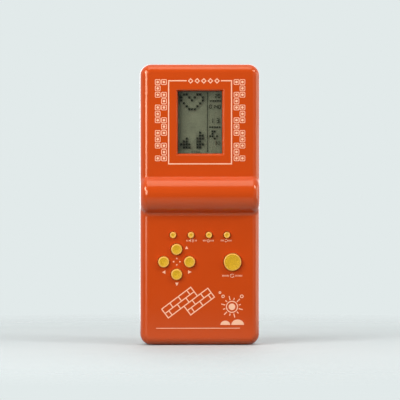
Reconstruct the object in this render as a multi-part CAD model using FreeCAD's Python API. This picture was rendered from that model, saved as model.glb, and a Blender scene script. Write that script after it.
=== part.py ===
"""Handheld brick game with a moulded two-part case, a finger hump, nine sprung buttons, a segment
screen and a battery bay behind a tip-out cover.

Millimetres. X runs across the case, -Y is the front with the screen and buttons, +Z runs up the
case, and the origin is the middle of the flat end that the case stands on."""

import FreeCAD, Part
import math
import os

Vector = FreeCAD.Vector

# Case
CASE_HEIGHT = 177.0
SIDE_ROOM = 4.8  # for lugs and wires, between the battery bay and the side wall
RIBBON_ROOM = 2.4  # between the battery bay and the inside of the key face
CORNER_RADIUS = 7.0  # of the outline seen from the front
FRONT_EDGE_RADIUS = 5.0
BACK_EDGE_RADIUS = 3.0
WALL = 2.0
REAR_SHELL_DEPTH = 11.5  # from the back face to the parting line
SEAM_WIDTH = 0.4  # of the reveal groove along the parting line
SEAM_DEPTH = 0.4
TONGUE_HEIGHT = 1.6
TONGUE_THICKNESS = 0.9
TONGUE_GAP = 0.2  # past the tongue's tip
SLIDE_GAP = 0.1  # between a tongue or plate and the seat round it

# Hump across the front
HUMP_BELOW_WINDOW = 24.7  # from the window's lower edge to the hump's axis
HUMP_RADIUS = 12.5
HUMP_OVER_SCREEN = 6.2
HUMP_OVER_KEYS = 9.0
CREASE_RADIUS = 0.8  # where the hump rises from the screen face
FOOT_RADIUS = 3.0  # where the hump runs out into the key face
HUMP_RIB_X = 20.0
HUMP_RIB_THICKNESS = 1.2
HUMP_RIB_DEPTH = 4.0

# Window in the screen face
WINDOW_TOP_MARGIN = 16.0  # from the top of the case to the window
WINDOW_WIDTH = 29.6
WINDOW_HEIGHT = 41.0
WINDOW_TAPER = 0.85  # how far each wall leans in
WINDOW_LIP_RADIUS = 0.6

# Screen stack, in order from the window inwards
LENS_THICKNESS = 1.2
LENS_BORDER = 2.15  # past the window's inner edge on each side
LENS_RIM_THICKNESS = 1.0
GASKET_THICKNESS = 0.3
GASKET_REVEAL = 0.15  # how far the gasket shows inside the window
POLARISER_THICKNESS = 0.2
GLASS_THICKNESS = 1.1
GLASS_SIDE_MARGIN = 2.05  # past the window's inner edge
GLASS_END_MARGIN = 5.05
CONTACT_LEDGE = 3.5  # of the front glass, left bare below the rear glass
HOLDER_WALL = 1.5
HOLDER_BACK = 1.2
HOLDER_EAR_REACH = 3.9  # from the holder's side to the screw
HOLDER_EAR_INSET = 5.5  # of a screw from the glass's end
RIBBON_WIDTH = 24.0
RIBBON_THICKNESS = 0.2
RIBBON_OVERLAP = 3.0  # of its end on the glass
RIBBON_DROP = 0.3  # that it runs past the battery bay before it turns in

# Buttons
SMALL_CAP_RADIUS = 1.95
ROUND_CAP_RADIUS = 3.45
LARGE_CAP_RADIUS = 5.45
SMALL_CAP_PROUD = 1.7  # above the key face
ROUND_CAP_PROUD = 2.0
LARGE_CAP_PROUD = 2.2
SMALL_PITCH = 11.33
KEY_ROW_SPACING = 3.6  # between the caps of the small row and the up button
PAD_X = -14.75  # middle of the four direction buttons
PAD_SPREAD_X = 8.15
PAD_SPREAD_Z = 7.9
TURN_X = 20.5
TURN_DROP = 0.2  # of the large button below the middle of the direction buttons
CAP_GAP = 0.35  # round a cap in its hole
CAP_EDGE_RADIUS = 0.45
CAP_RIM = 0.75  # flat or rounded ring round the dished face
CAP_DISH = 0.25
HOLE_EDGE_RADIUS = 0.3
FLANGE_OVERHANG = 1.1
FLANGE_THICKNESS = 1.0
STUB_HEIGHT = 0.4
BUTTON_TRAVEL = 1.2

# Rubber key mat and its carbon pills
MAT_THICKNESS = 0.9
MAT_SIDE_INSET = 0.3  # from the board's edge
MAT_BOTTOM_INSET = 5.5
MAT_TOP_INSET = 4.0  # bare strip of the board that takes the ribbon
MAT_MARGIN = 0.5  # above the domes of the small row
KEY_PAD_THICKNESS = 1.4
KEY_PAD_SHRINK = 0.9  # a key pad's radius below its cap's, but on the small keys
SMALL_KEY_PAD_RADIUS = 1.9
DOME_SPREAD = 1.7  # of the skirt, from key pad to mat
SKIRT_THICKNESS = 0.7
PILL_THICKNESS = 0.4
PILL_INSET = 0.5

# Circuit board
BOARD_THICKNESS = 1.6
BOARD_SIDE_GAP = 1.0  # from the case posts
BOARD_TOP_GAP = 1.05  # below the battery bay
BOARD_BELOW_PAD = 19.6  # from the middle of the direction buttons to the board's lower edge
BOARD_SCREW_SIDE_INSET = 3.1
BOARD_SCREW_END_INSET = 3.9
MIDDLE_SCREW_X = 5.9
CHIP_X = -3.0
CHIP_Z = 5.7  # from the board's middle, like the other places on it
CHIP_RADIUS = 6.5
CHIP_HEIGHT = 2.2
CAPACITOR_X = -13.0
CAPACITOR_Z = -11.3
CAPACITOR_RADIUS = 2.5
CAPACITOR_HEIGHT = 7.0
CAPACITOR_ROUNDING = 0.5
RESISTOR_X = -20.0
RESISTOR_Z = 6.7
RESISTOR_RADIUS = 0.9
RESISTOR_LENGTH = 4.4
RESISTOR_PITCH = 3.2
RESISTOR_COUNT = 4
LEAD_SIZE = 0.5
DISC_X = 17.0
DISC_Z = 4.7
DISC_RADIUS = 2.2
DISC_THICKNESS = 1.5
DISC_PITCH = 4.5
DISC_COUNT = 2

# Small screws into the front shell's posts
POST_RADIUS = 2.2
SCREW_RADIUS = 1.0
SCREW_HEAD_RADIUS = 1.9
SCREW_HEAD_HEIGHT = 1.3
SCREW_BITE = 3.4  # length of shank in the post
SCREW_HOLE_GAP = 0.3  # round the shank in the clamped piece
THREAD_GAP = 0.02  # round the shank in its post

# Case screws, from the back into the front shell
CASE_SCREW_INSET = 5.4  # from the side of the case
CASE_SCREW_END_INSET = 10.8  # from the case's top and bottom
MIDDLE_CASE_SCREW_DROP = 12.6  # below the battery bay
CASE_POST_RADIUS = 2.8
CASE_POST_WEB = 1.2
WELL_WALL = 1.0
WELL_RADIUS = 2.6
WELL_FLOOR = 2.0
WELL_BOTTOM = 8.0  # from the back face to the screw's seat
CASE_SCREW_RADIUS = 1.25
CASE_SCREW_HEAD_RADIUS = 2.3
CASE_SCREW_HEAD_HEIGHT = 1.7
CASE_SCREW_BITE = 7.0

# Batteries, size AA, and their bay
CELL_RADIUS = 7.25
CELL_LENGTH = 50.5
CELL_NUB_RADIUS = 2.6
CELL_NUB_LENGTH = 1.0
CELL_SHOULDER = 0.8  # rounding of a cell's ends
LABEL_THICKNESS = 0.2
LABEL_SETBACK = 0.9
CELL_SPACING = 0.7  # between the two cells
CELL_GAP = 0.3  # between a cell and the bay or the cover
BAY_WALL = 1.5
CRADLE_RIB_HEIGHT = 2.6
CRADLE_RIB_THICKNESS = 1.2

# Battery contacts
PLATE_THICKNESS = 0.4
PLATE_WIDTH = 11.0
PLATE_LENGTH = 12.0
BUMP_HEIGHT = 0.6
BUMP_RADIUS = 2.2
LUG_WIDTH = 2.6
LUG_LENGTH = 4.2
LUG_GAP = 0.3
SPRING_LENGTH = 6.5
SPRING_WIRE_RADIUS = 0.35
SPRING_LARGE_RADIUS = 4.2
SPRING_SMALL_RADIUS = 1.9
SPRING_TURNS = 3
SPRING_END_RISE = 1.2  # axial room of each end's bend

# Battery cover and its latch
SEAT_LEDGE = 1.2  # that the cover rests on round the bay
COVER_GAP = 0.15
COVER_CORNER_RADIUS = 1.5
GRIP_GROOVES = 5
GRIP_PITCH = 2.2
GRIP_WIDTH = 1.0
GRIP_DEPTH = 0.5
GRIP_LENGTH = 22.0
COVER_RIB_HEIGHT = 2.0
COVER_RIB_THICKNESS = 1.0
TAB_X = 18.0
TAB_WIDTH = 6.0
TAB_THICKNESS = 0.85
TAB_REACH = 1.6  # under the back wall
TAB_ROOT = 1.6
TAB_ROOM = 2.6  # depth of the slot that the tab swings in
LATCH_WIDTH = 10.0
LATCH_THICKNESS = 1.0
LATCH_DEPTH = 4.2
LATCH_GAP = 2.4  # between the latch's two arms
LATCH_HOOK = 0.7
LATCH_HOOK_THICKNESS = 0.8
LATCH_ROOM = 0.5
LATCH_SET_BACK = 0.3  # of the thumb tab below the back face
LATCH_POCKET_WALL = 1.2

# Buzzer
BUZZER_Z = 24.0
BUZZER_RADIUS = 10.0
BUZZER_PLATE_THICKNESS = 0.25
CERAMIC_RADIUS = 7.0
BUZZER_CHAMBER = 1.6
BUZZER_LEDGE = 0.8
BUZZER_RIM_THICKNESS = 1.2
BUZZER_RIM_HEIGHT = 1.2
SOUND_HOLE_RADIUS = 1.0
SOUND_RING_RADIUS = 4.6
SOUND_HOLES = 6

# Wires
WIRE_RADIUS = 0.55
THIN_WIRE_RADIUS = 0.4

# Planes from front to back. The hump's front and the back face lie evenly about y = 0
CASE_DEPTH = HUMP_OVER_KEYS + WALL + RIBBON_ROOM + BAY_WALL + 2 * (CELL_RADIUS + CELL_GAP) + WALL
HUMP_FRONT = -CASE_DEPTH / 2
BACK = CASE_DEPTH / 2
SCREEN_FACE = HUMP_FRONT + HUMP_OVER_SCREEN
KEY_FACE = HUMP_FRONT + HUMP_OVER_KEYS
PARTING = BACK - REAR_SHELL_DEPTH
SCREEN_INSIDE = SCREEN_FACE + WALL
KEY_INSIDE = KEY_FACE + WALL
BACK_INSIDE = BACK - WALL

KEY_PAD_FRONT = KEY_INSIDE + FLANGE_THICKNESS + STUB_HEIGHT
KEY_PAD_BACK = KEY_PAD_FRONT + KEY_PAD_THICKNESS
PILL_BACK = KEY_PAD_BACK + PILL_THICKNESS
BOARD_FRONT = PILL_BACK + BUTTON_TRAVEL
BOARD_BACK = BOARD_FRONT + BOARD_THICKNESS
MAT_FRONT = BOARD_FRONT - MAT_THICKNESS

LENS_BACK = SCREEN_INSIDE + LENS_THICKNESS
POLARISER_FRONT = LENS_BACK + GASKET_THICKNESS
GLASS_FRONT = POLARISER_FRONT + POLARISER_THICKNESS
GLASS_MIDDLE = GLASS_FRONT + GLASS_THICKNESS
GLASS_BACK = GLASS_MIDDLE + GLASS_THICKNESS
REFLECTOR_BACK = GLASS_BACK + POLARISER_THICKNESS
HOLDER_REAR = REFLECTOR_BACK + HOLDER_BACK

CELL_Y = BACK_INSIDE - CELL_GAP - CELL_RADIUS
BAY_FLOOR = CELL_Y - CELL_RADIUS - CELL_GAP
SCREW_SEAT = BACK - WELL_BOTTOM
CASE_POST_END = SCREW_SEAT - WELL_FLOOR

# Half-widths from the middle outwards
BAY_HALF_LENGTH = (2 * PLATE_THICKNESS + BUMP_HEIGHT + CELL_LENGTH + SPRING_LENGTH) / 2
HATCH_HALF_LENGTH = BAY_HALF_LENGTH + SEAT_LEDGE
CASE_WIDTH = 2 * (BAY_HALF_LENGTH + BAY_WALL + SIDE_ROOM + WALL)
CASE_SCREW_X = CASE_WIDTH / 2 - CASE_SCREW_INSET
BOARD_HALF_WIDTH = CASE_SCREW_X - CASE_POST_RADIUS - BOARD_SIDE_GAP
MAT_HALF_WIDTH = BOARD_HALF_WIDTH - MAT_SIDE_INSET
VIEW_HALF_WIDTH = WINDOW_WIDTH / 2 - WINDOW_TAPER
GLASS_HALF_WIDTH = VIEW_HALF_WIDTH + GLASS_SIDE_MARGIN
HOLDER_HALF_WIDTH = GLASS_HALF_WIDTH + SLIDE_GAP + HOLDER_WALL
HOLDER_EAR_X = HOLDER_HALF_WIDTH + HOLDER_EAR_REACH

# Heights from the top of the case downwards
WINDOW_Z = CASE_HEIGHT - WINDOW_TOP_MARGIN - WINDOW_HEIGHT / 2
VIEW_HALF_HEIGHT = WINDOW_HEIGHT / 2 - WINDOW_TAPER
GLASS_TOP = WINDOW_Z + VIEW_HALF_HEIGHT + GLASS_END_MARGIN
GLASS_BOTTOM = WINDOW_Z - VIEW_HALF_HEIGHT - GLASS_END_MARGIN
HUMP_Z = WINDOW_Z - WINDOW_HEIGHT / 2 - HUMP_BELOW_WINDOW
CELL_RISE = CELL_RADIUS + CELL_SPACING / 2
CELL_HEIGHTS = (HUMP_Z + CELL_RISE, HUMP_Z - CELL_RISE)
BAY_BOTTOM = HUMP_Z - CELL_RISE - CELL_RADIUS - CELL_GAP
BAY_TOP = HUMP_Z + CELL_RISE + CELL_RADIUS + CELL_GAP
HATCH_BOTTOM = BAY_BOTTOM - SEAT_LEDGE
HATCH_TOP = BAY_TOP + SEAT_LEDGE
BOARD_TOP = BAY_BOTTOM - BAY_WALL - BOARD_TOP_GAP
MAT_TOP = BOARD_TOP - MAT_TOP_INSET
SMALL_ROW_Z = MAT_TOP - MAT_MARGIN - SMALL_KEY_PAD_RADIUS - DOME_SPREAD
PAD_Z = SMALL_ROW_Z - SMALL_CAP_RADIUS - KEY_ROW_SPACING - ROUND_CAP_RADIUS - PAD_SPREAD_Z
TURN_Z = PAD_Z - TURN_DROP
BOARD_BOTTOM = PAD_Z - BOARD_BELOW_PAD
BOARD_MIDDLE = (BOARD_TOP + BOARD_BOTTOM) / 2
MAT_BOTTOM = BOARD_BOTTOM + MAT_BOTTOM_INSET

# Each button's x, z, cap radius and height above the key face
BUTTONS = {
    "button_start": (-1.5 * SMALL_PITCH, SMALL_ROW_Z, SMALL_CAP_RADIUS, SMALL_CAP_PROUD),
    "button_sound": (-0.5 * SMALL_PITCH, SMALL_ROW_Z, SMALL_CAP_RADIUS, SMALL_CAP_PROUD),
    "button_power": (0.5 * SMALL_PITCH, SMALL_ROW_Z, SMALL_CAP_RADIUS, SMALL_CAP_PROUD),
    "button_reset": (1.5 * SMALL_PITCH, SMALL_ROW_Z, SMALL_CAP_RADIUS, SMALL_CAP_PROUD),
    "button_up": (PAD_X, PAD_Z + PAD_SPREAD_Z, ROUND_CAP_RADIUS, ROUND_CAP_PROUD),
    "button_down": (PAD_X, PAD_Z - PAD_SPREAD_Z, ROUND_CAP_RADIUS, ROUND_CAP_PROUD),
    "button_left": (PAD_X - PAD_SPREAD_X, PAD_Z, ROUND_CAP_RADIUS, ROUND_CAP_PROUD),
    "button_right": (PAD_X + PAD_SPREAD_X, PAD_Z, ROUND_CAP_RADIUS, ROUND_CAP_PROUD),
    "button_turn": (TURN_X, TURN_Z, LARGE_CAP_RADIUS, LARGE_CAP_PROUD),
}


# Basic shapes
def block(x0, x1, y0, y1, z0, z1):
    return Part.makeBox(x1 - x0, y1 - y0, z1 - z0, Vector(x0, y0, z0))


def rod(x, z, y0, y1, radius):
    """A cylinder that runs front to back."""
    return Part.makeCylinder(radius, y1 - y0, Vector(x, y0, z), Vector(0, 1, 0))


def turned(x, z, outline):
    """A closed outline of (radius, y) points, turned about the front-to-back line through x, z."""
    corners = [Vector(x + radius, y, z) for radius, y in outline]
    face = Part.Face(Part.makePolygon(corners + corners[:1]))
    return face.revolve(Vector(x, 0, z), Vector(0, 1, 0), 360)


def plate(half_width, z0, z1, y0, y1, radius):
    """A flat plate centred on x = 0, with its four corners rounded."""
    body = block(-half_width, half_width, y0, y1, z0, z1)
    upright = [e for e in body.Edges if abs(e.tangentAt(e.FirstParameter).y) > 0.99]
    return body.makeFillet(radius, upright)


def joined(first, *others):
    return first.fuse(list(others)).removeSplitter()


def arc_leaving(start, heading, end):
    """The arc from start, leaving along heading, to end."""
    chord = end - start
    length = chord.Length
    along = Vector(chord).normalize()
    sideways = heading - along * heading.dot(along)
    if sideways.Length < 1e-7:
        return Part.LineSegment(start, end).toShape()
    half_turn = heading.getAngle(along)
    top = start + chord * 0.5 + sideways.normalize() * (length / 2 * math.tan(half_turn / 2))
    return Part.Arc(start, top, end).toShape()


def biarc(start, heading, end, arrival):
    """Two arcs that leave start along heading and reach end along arrival."""
    gap = end - start
    both = heading + arrival
    turn = 2 * (1 - heading.dot(arrival))
    reach = gap.dot(both)
    if turn < 1e-9:
        arm = gap.Length / 4 if abs(reach) < 1e-9 else gap.dot(gap) / (2 * reach)
    else:
        arm = (-reach + math.sqrt(reach * reach + turn * gap.dot(gap))) / turn
    middle = (start + heading * arm + end - arrival * arm) * 0.5
    back = arc_leaving(end, arrival * -1, middle)
    return [arc_leaving(start, heading, middle), back]


def route(points):
    """Straight runs between the points, joined by tangent arcs as large as the runs allow."""
    places = [Vector(*p) for p in points]
    edges = []
    radii = []
    at = places[0]
    for before, corner, after in zip(places, places[1:], places[2:]):
        inward = Vector(corner - before).normalize()
        outward = Vector(after - corner).normalize()
        turn = inward.getAngle(outward)
        radius = 0.45 * min((corner - before).Length, (after - corner).Length) / math.tan(turn / 2)
        trim = radius * math.tan(turn / 2)
        arc_start = corner - inward * trim
        arc_end = corner + outward * trim
        edges.append(Part.LineSegment(at, arc_start).toShape())
        edges.append(arc_leaving(arc_start, inward, arc_end))
        radii.append(round(radius, 1))
        at = arc_end
    edges.append(Part.LineSegment(at, places[-1]).toShape())
    return Part.Wire(edges), radii


def tube(points, radius, name):
    """A round wire along a route, with its bend radii and volume printed."""
    path, radii = route(points)
    heading = Vector(points[1]) - Vector(points[0])
    section = Part.Wire(Part.makeCircle(radius, Vector(*points[0]), heading))
    swept = path.makePipeShell([section], True, False)
    expected = math.pi * radius**2 * path.Length
    print(name, "radii", radii, "volume share", round(swept.Volume / expected, 4))
    return swept


# Case
def arc_between(centre, radius, start, end):
    """An arc in the side view, bulging away from its centre."""
    outward = ((start + end) * 0.5 - centre).normalize()
    return Part.Arc(start, centre + outward * radius, end).toShape()


def side_profile(inset):
    """The case seen from the side, drawn in by inset. The arcs keep their centres."""
    screen = SCREEN_FACE + inset
    keys = KEY_FACE + inset
    back = BACK - inset
    top = CASE_HEIGHT - inset
    hump = Vector(0, HUMP_FRONT + HUMP_RADIUS, HUMP_Z)
    crease_y = SCREEN_FACE - CREASE_RADIUS
    foot_y = KEY_FACE - FOOT_RADIUS
    crease_rise = math.sqrt((HUMP_RADIUS + CREASE_RADIUS) ** 2 - (hump.y - crease_y) ** 2)
    foot_drop = math.sqrt((HUMP_RADIUS + FOOT_RADIUS) ** 2 - (hump.y - foot_y) ** 2)
    crease = Vector(0, crease_y, HUMP_Z + crease_rise)
    foot = Vector(0, foot_y, HUMP_Z - foot_drop)
    radius = HUMP_RADIUS - inset
    hump_top = hump + Vector(crease - hump).normalize() * radius
    hump_bottom = hump + Vector(foot - hump).normalize() * radius
    crease_start = Vector(0, screen, crease.z)
    foot_end = Vector(0, keys, foot.z)
    corners = [Vector(0, keys, inset), Vector(0, back, inset), Vector(0, back, top), Vector(0, screen, top)]
    edges = [
        Part.makeLine(corners[3], crease_start),
        arc_between(crease, CREASE_RADIUS + inset, crease_start, hump_top),
        Part.Arc(hump_top, hump - Vector(0, radius, 0), hump_bottom).toShape(),
        arc_between(foot, FOOT_RADIUS + inset, hump_bottom, foot_end),
        Part.makeLine(foot_end, corners[0]),
    ]
    edges += [Part.makeLine(a, b) for a, b in zip(corners, corners[1:])]
    return Part.Face(Part.Wire(edges))


def case_form(inset):
    """The closed outer form of the case, drawn in by inset on every side."""
    half_width = CASE_WIDTH / 2 - inset
    profile = side_profile(inset)
    profile.translate(Vector(-half_width, 0, 0))
    sides = profile.extrude(Vector(2 * half_width, 0, 0))
    outline = plate(half_width, inset, CASE_HEIGHT - inset, HUMP_FRONT, BACK, CORNER_RADIUS - inset)
    form = sides.common(outline)
    rear = BACK - inset - 1e-6

    def is_front_rim(edge):
        if max(v.Y for v in edge.Vertexes) > rear:
            return False
        middle = edge.CenterOfMass
        across = abs(middle.x) > CASE_WIDTH / 2 - CORNER_RADIUS
        at_side = abs(abs(middle.x) - half_width) < 1e-6
        at_end = min(abs(middle.z - inset), abs(middle.z - CASE_HEIGHT + inset)) < 1e-6
        at_corner = across and min(middle.z, CASE_HEIGHT - middle.z) < CORNER_RADIUS
        return at_side or at_end or at_corner

    form = form.makeFillet(FRONT_EDGE_RADIUS - inset, [e for e in form.Edges if is_front_rim(e)])
    back_rim = [e for e in form.Edges if min(v.Y for v in e.Vertexes) > rear]
    return form.makeFillet(BACK_EDGE_RADIUS - inset, back_rim).Solids[0]


def slab(y0, y1):
    """All of the room between two planes, front to back."""
    return block(-CASE_WIDTH, CASE_WIDTH, y0, y1, -CASE_HEIGHT, 2 * CASE_HEIGHT)


def ring_between(outer_inset, inner_inset, y0, y1):
    """A band of the case wall between two insets and two planes."""
    return case_form(outer_inset).common(slab(y0, y1)).cut(case_form(inner_inset))


def case_screw_places():
    middle = BAY_BOTTOM - BAY_WALL - MIDDLE_CASE_SCREW_DROP
    heights = (CASE_SCREW_END_INSET, middle, CASE_HEIGHT - CASE_SCREW_END_INSET)
    return [(side * CASE_SCREW_X, z) for side in (-1, 1) for z in heights]


def holder_screw_places():
    heights = (GLASS_BOTTOM + HOLDER_EAR_INSET, GLASS_TOP - HOLDER_EAR_INSET)
    return [(side * HOLDER_EAR_X, z) for side in (-1, 1) for z in heights]


def board_screw_places():
    x = BOARD_HALF_WIDTH - BOARD_SCREW_SIDE_INSET
    heights = (BOARD_BOTTOM + BOARD_SCREW_END_INSET, BOARD_TOP - BOARD_SCREW_END_INSET)
    corners = [(side * x, z) for side in (-1, 1) for z in heights]
    return [*corners, (MIDDLE_SCREW_X, PAD_Z)]


def window_cutter():
    """The window's opening, with four walls that lean in."""
    half = WINDOW_WIDTH / 2
    rise = WINDOW_HEIGHT / 2
    return Part.makeWedge(
        -half,
        SCREEN_FACE,
        WINDOW_Z - rise,
        WINDOW_Z - VIEW_HALF_HEIGHT,
        -VIEW_HALF_WIDTH,
        half,
        SCREEN_INSIDE,
        WINDOW_Z + rise,
        WINDOW_Z + VIEW_HALF_HEIGHT,
        VIEW_HALF_WIDTH,
    )


def lens_half_size():
    return VIEW_HALF_WIDTH + LENS_BORDER, VIEW_HALF_HEIGHT + LENS_BORDER


def lens_rim():
    """The rib inside the front shell that the lens drops into."""
    half, rise = (size + SLIDE_GAP for size in lens_half_size())
    rim_back = LENS_BACK + GASKET_THICKNESS / 2
    outer = block(
        -half - LENS_RIM_THICKNESS,
        half + LENS_RIM_THICKNESS,
        SCREEN_INSIDE,
        rim_back,
        WINDOW_Z - rise - LENS_RIM_THICKNESS,
        WINDOW_Z + rise + LENS_RIM_THICKNESS,
    )
    return outer.cut(block(-half, half, SCREEN_INSIDE, rim_back, WINDOW_Z - rise, WINDOW_Z + rise))


def hump_ribs():
    """Two stiffening ribs that follow the inside of the hump."""
    inside = case_form(WALL)
    ribs = []
    for x in (-HUMP_RIB_X, HUMP_RIB_X):
        slice_of_hump = block(
            x - HUMP_RIB_THICKNESS / 2,
            x + HUMP_RIB_THICKNESS / 2,
            HUMP_FRONT,
            HUMP_FRONT + WALL + HUMP_RIB_DEPTH,
            HUMP_Z - HUMP_RADIUS,
            HUMP_Z + HUMP_RADIUS,
        )
        ribs.append(slice_of_hump.common(inside))
    return ribs


def front_shell():
    wall = case_form(0).common(slab(HUMP_FRONT, PARTING)).cut(case_form(WALL))
    posts = [rod(x, z, KEY_INSIDE, BOARD_FRONT, POST_RADIUS) for x, z in board_screw_places()]
    posts += [rod(x, z, SCREEN_INSIDE, REFLECTOR_BACK, POST_RADIUS) for x, z in holder_screw_places()]
    web_end = PARTING - TONGUE_HEIGHT - 2 * TONGUE_GAP
    wall_inside = CASE_WIDTH / 2 - WALL
    for x, z in case_screw_places():
        face = SCREEN_INSIDE if z > HUMP_Z else KEY_INSIDE
        posts.append(rod(x, z, face, CASE_POST_END, CASE_POST_RADIUS))
        side = math.copysign(1, x)
        x0, x1 = sorted((x + side * CASE_POST_RADIUS / 2, side * wall_inside))
        posts.append(block(x0, x1, face, web_end, z - CASE_POST_WEB / 2, z + CASE_POST_WEB / 2))
    shell = joined(wall, lens_rim(), *posts, *hump_ribs())
    cutters = [window_cutter()]
    cutters += [
        rod(x, z, KEY_FACE - WALL, KEY_INSIDE, radius + CAP_GAP) for x, z, radius, _ in BUTTONS.values()
    ]
    cutters += [
        rod(x, z, BOARD_FRONT - SCREW_BITE, BOARD_FRONT, SCREW_RADIUS + THREAD_GAP)
        for x, z in board_screw_places()
    ]
    cutters += [
        rod(x, z, REFLECTOR_BACK - SCREW_BITE, REFLECTOR_BACK, SCREW_RADIUS + THREAD_GAP)
        for x, z in holder_screw_places()
    ]
    cutters += [
        rod(x, z, CASE_POST_END - CASE_SCREW_BITE, CASE_POST_END, CASE_SCREW_RADIUS + THREAD_GAP)
        for x, z in case_screw_places()
    ]
    cutters.append(ring_between(0, SEAM_DEPTH, PARTING - SEAM_WIDTH / 2, PARTING))
    rabbet_inset = WALL - TONGUE_THICKNESS - SLIDE_GAP
    rabbet_start = PARTING - TONGUE_HEIGHT - TONGUE_GAP
    cutters.append(ring_between(rabbet_inset, WALL, rabbet_start, PARTING))
    shell = shell.cut(cutters)
    lip = [e for e in shell.Edges if on_window_rim(e)]
    shell = shell.makeFillet(WINDOW_LIP_RADIUS, lip)
    rims = [e for e in shell.Edges if is_round_at(e, KEY_FACE)]
    return shell.makeFillet(HOLE_EDGE_RADIUS, rims).Solids[0]


def on_window_rim(edge):
    """Whether an edge is one of the four where the window meets the screen face."""
    middle = edge.CenterOfMass
    on_face = all(abs(v.Y - SCREEN_FACE) < 1e-6 for v in edge.Vertexes)
    inside = abs(middle.x) < WINDOW_WIDTH / 2 + 1e-6
    level = abs(middle.z - WINDOW_Z) < WINDOW_HEIGHT / 2 + 1e-6
    return on_face and inside and level


def is_round_at(edge, y):
    """Whether an edge is a full circle on the plane at y."""
    closed = len(edge.Vertexes) == 1
    return closed and isinstance(edge.Curve, Part.Circle) and abs(edge.CenterOfMass.y - y) < 1e-6


def latch_heights():
    """Bottom of the lower arm, bottom of the upper arm, and top of the upper arm."""
    lower = HATCH_TOP - COVER_GAP - 2 * LATCH_THICKNESS
    upper = lower + LATCH_THICKNESS + LATCH_GAP
    return lower, upper, upper + LATCH_THICKNESS


def latch_pocket():
    """The box inside the back wall that the latch bends in, and the notch that it needs."""
    lower, _, top = latch_heights()
    half = LATCH_WIDTH / 2 + LATCH_ROOM
    depth = BACK_INSIDE - LATCH_DEPTH - LATCH_ROOM
    roof = top + LATCH_HOOK + LATCH_ROOM
    outer = block(
        -half - LATCH_POCKET_WALL,
        half + LATCH_POCKET_WALL,
        depth - LATCH_POCKET_WALL,
        BACK_INSIDE,
        BAY_TOP,
        roof + LATCH_POCKET_WALL,
    )
    room = block(-half, half, depth, BACK_INSIDE, lower - LATCH_ROOM, roof)
    notch = block(-half, half, BACK_INSIDE, BACK, HATCH_TOP - COVER_GAP, top + COVER_GAP)
    return outer, [room, notch]


def rear_shell():
    wall = case_form(0).common(slab(PARTING, BACK)).cut(case_form(WALL))
    tongue_inset = WALL - TONGUE_THICKNESS
    tongue = ring_between(tongue_inset, WALL, PARTING - TONGUE_HEIGHT, PARTING)
    bay = block(
        -BAY_HALF_LENGTH - BAY_WALL,
        BAY_HALF_LENGTH + BAY_WALL,
        BAY_FLOOR - BAY_WALL,
        BACK_INSIDE,
        BAY_BOTTOM - BAY_WALL,
        BAY_TOP + BAY_WALL,
    )
    bay_room = block(-BAY_HALF_LENGTH, BAY_HALF_LENGTH, BAY_FLOOR, BACK, BAY_BOTTOM, BAY_TOP)
    hatch = plate(HATCH_HALF_LENGTH, HATCH_BOTTOM, HATCH_TOP, BACK_INSIDE, BACK, COVER_CORNER_RADIUS)
    cradle = block(
        -CELL_LENGTH / 2,
        CELL_LENGTH / 2,
        BAY_FLOOR,
        BAY_FLOOR + CRADLE_RIB_HEIGHT,
        HUMP_Z - CRADLE_RIB_THICKNESS / 2,
        HUMP_Z + CRADLE_RIB_THICKNESS / 2,
    )
    wells = [
        rod(x, z, CASE_POST_END, BACK_INSIDE, WELL_RADIUS + WELL_WALL) for x, z in case_screw_places()
    ]
    seat = BACK_INSIDE - BUZZER_CHAMBER
    rim = rod(
        0,
        BUZZER_Z,
        seat - BUZZER_RIM_HEIGHT,
        BACK_INSIDE,
        BUZZER_RADIUS + SLIDE_GAP + BUZZER_RIM_THICKNESS,
    )
    pocket_wall, latch_cuts = latch_pocket()
    shell = joined(wall, tongue, bay, pocket_wall, rim, *wells)
    cutters = [bay_room, hatch, *latch_cuts]
    cutters.append(rod(0, BUZZER_Z, seat, BACK_INSIDE, BUZZER_RADIUS - BUZZER_LEDGE))
    cutters.append(rod(0, BUZZER_Z, seat - BUZZER_RIM_HEIGHT, seat, BUZZER_RADIUS + SLIDE_GAP))
    cutters += [rod(x, z, BACK_INSIDE, BACK, SOUND_HOLE_RADIUS) for x, z in sound_hole_places()]
    for x, z in case_screw_places():
        cutters.append(rod(x, z, SCREW_SEAT, BACK, WELL_RADIUS))
        cutters.append(rod(x, z, CASE_POST_END, SCREW_SEAT, CASE_SCREW_RADIUS + SCREW_HOLE_GAP))
    for x in (-TAB_X, TAB_X):
        half = TAB_WIDTH / 2 + LUG_GAP
        low = BAY_BOTTOM - BAY_WALL
        cutters.append(block(x - half, x + half, BACK_INSIDE - TAB_ROOM, BACK_INSIDE, low, BAY_BOTTOM))
    cutters += [lug_room(z) for z in CELL_HEIGHTS]
    cutters.append(ring_between(0, SEAM_DEPTH, PARTING, PARTING + SEAM_WIDTH / 2))
    shell = shell.cut(cutters)
    return joined(shell, cradle).Solids[0]


def sound_hole_places():
    angles = [2 * math.pi * n / SOUND_HOLES for n in range(SOUND_HOLES)]
    ring = [(SOUND_RING_RADIUS * math.cos(a), BUZZER_Z + SOUND_RING_RADIUS * math.sin(a)) for a in angles]
    return [(0, BUZZER_Z), *ring]


def lug_span():
    """Front and back of a solder lug."""
    front = CELL_Y - PLATE_WIDTH / 2
    return front, front + PLATE_THICKNESS


def lug_room(z):
    """The slot in the bay's end wall that a solder lug passes through."""
    front, back = lug_span()
    half = LUG_WIDTH / 2 + LUG_GAP
    end = BAY_HALF_LENGTH + BAY_WALL
    return block(BAY_HALF_LENGTH, end, front - LUG_GAP, back + LUG_GAP, z - half, z + half)


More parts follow.
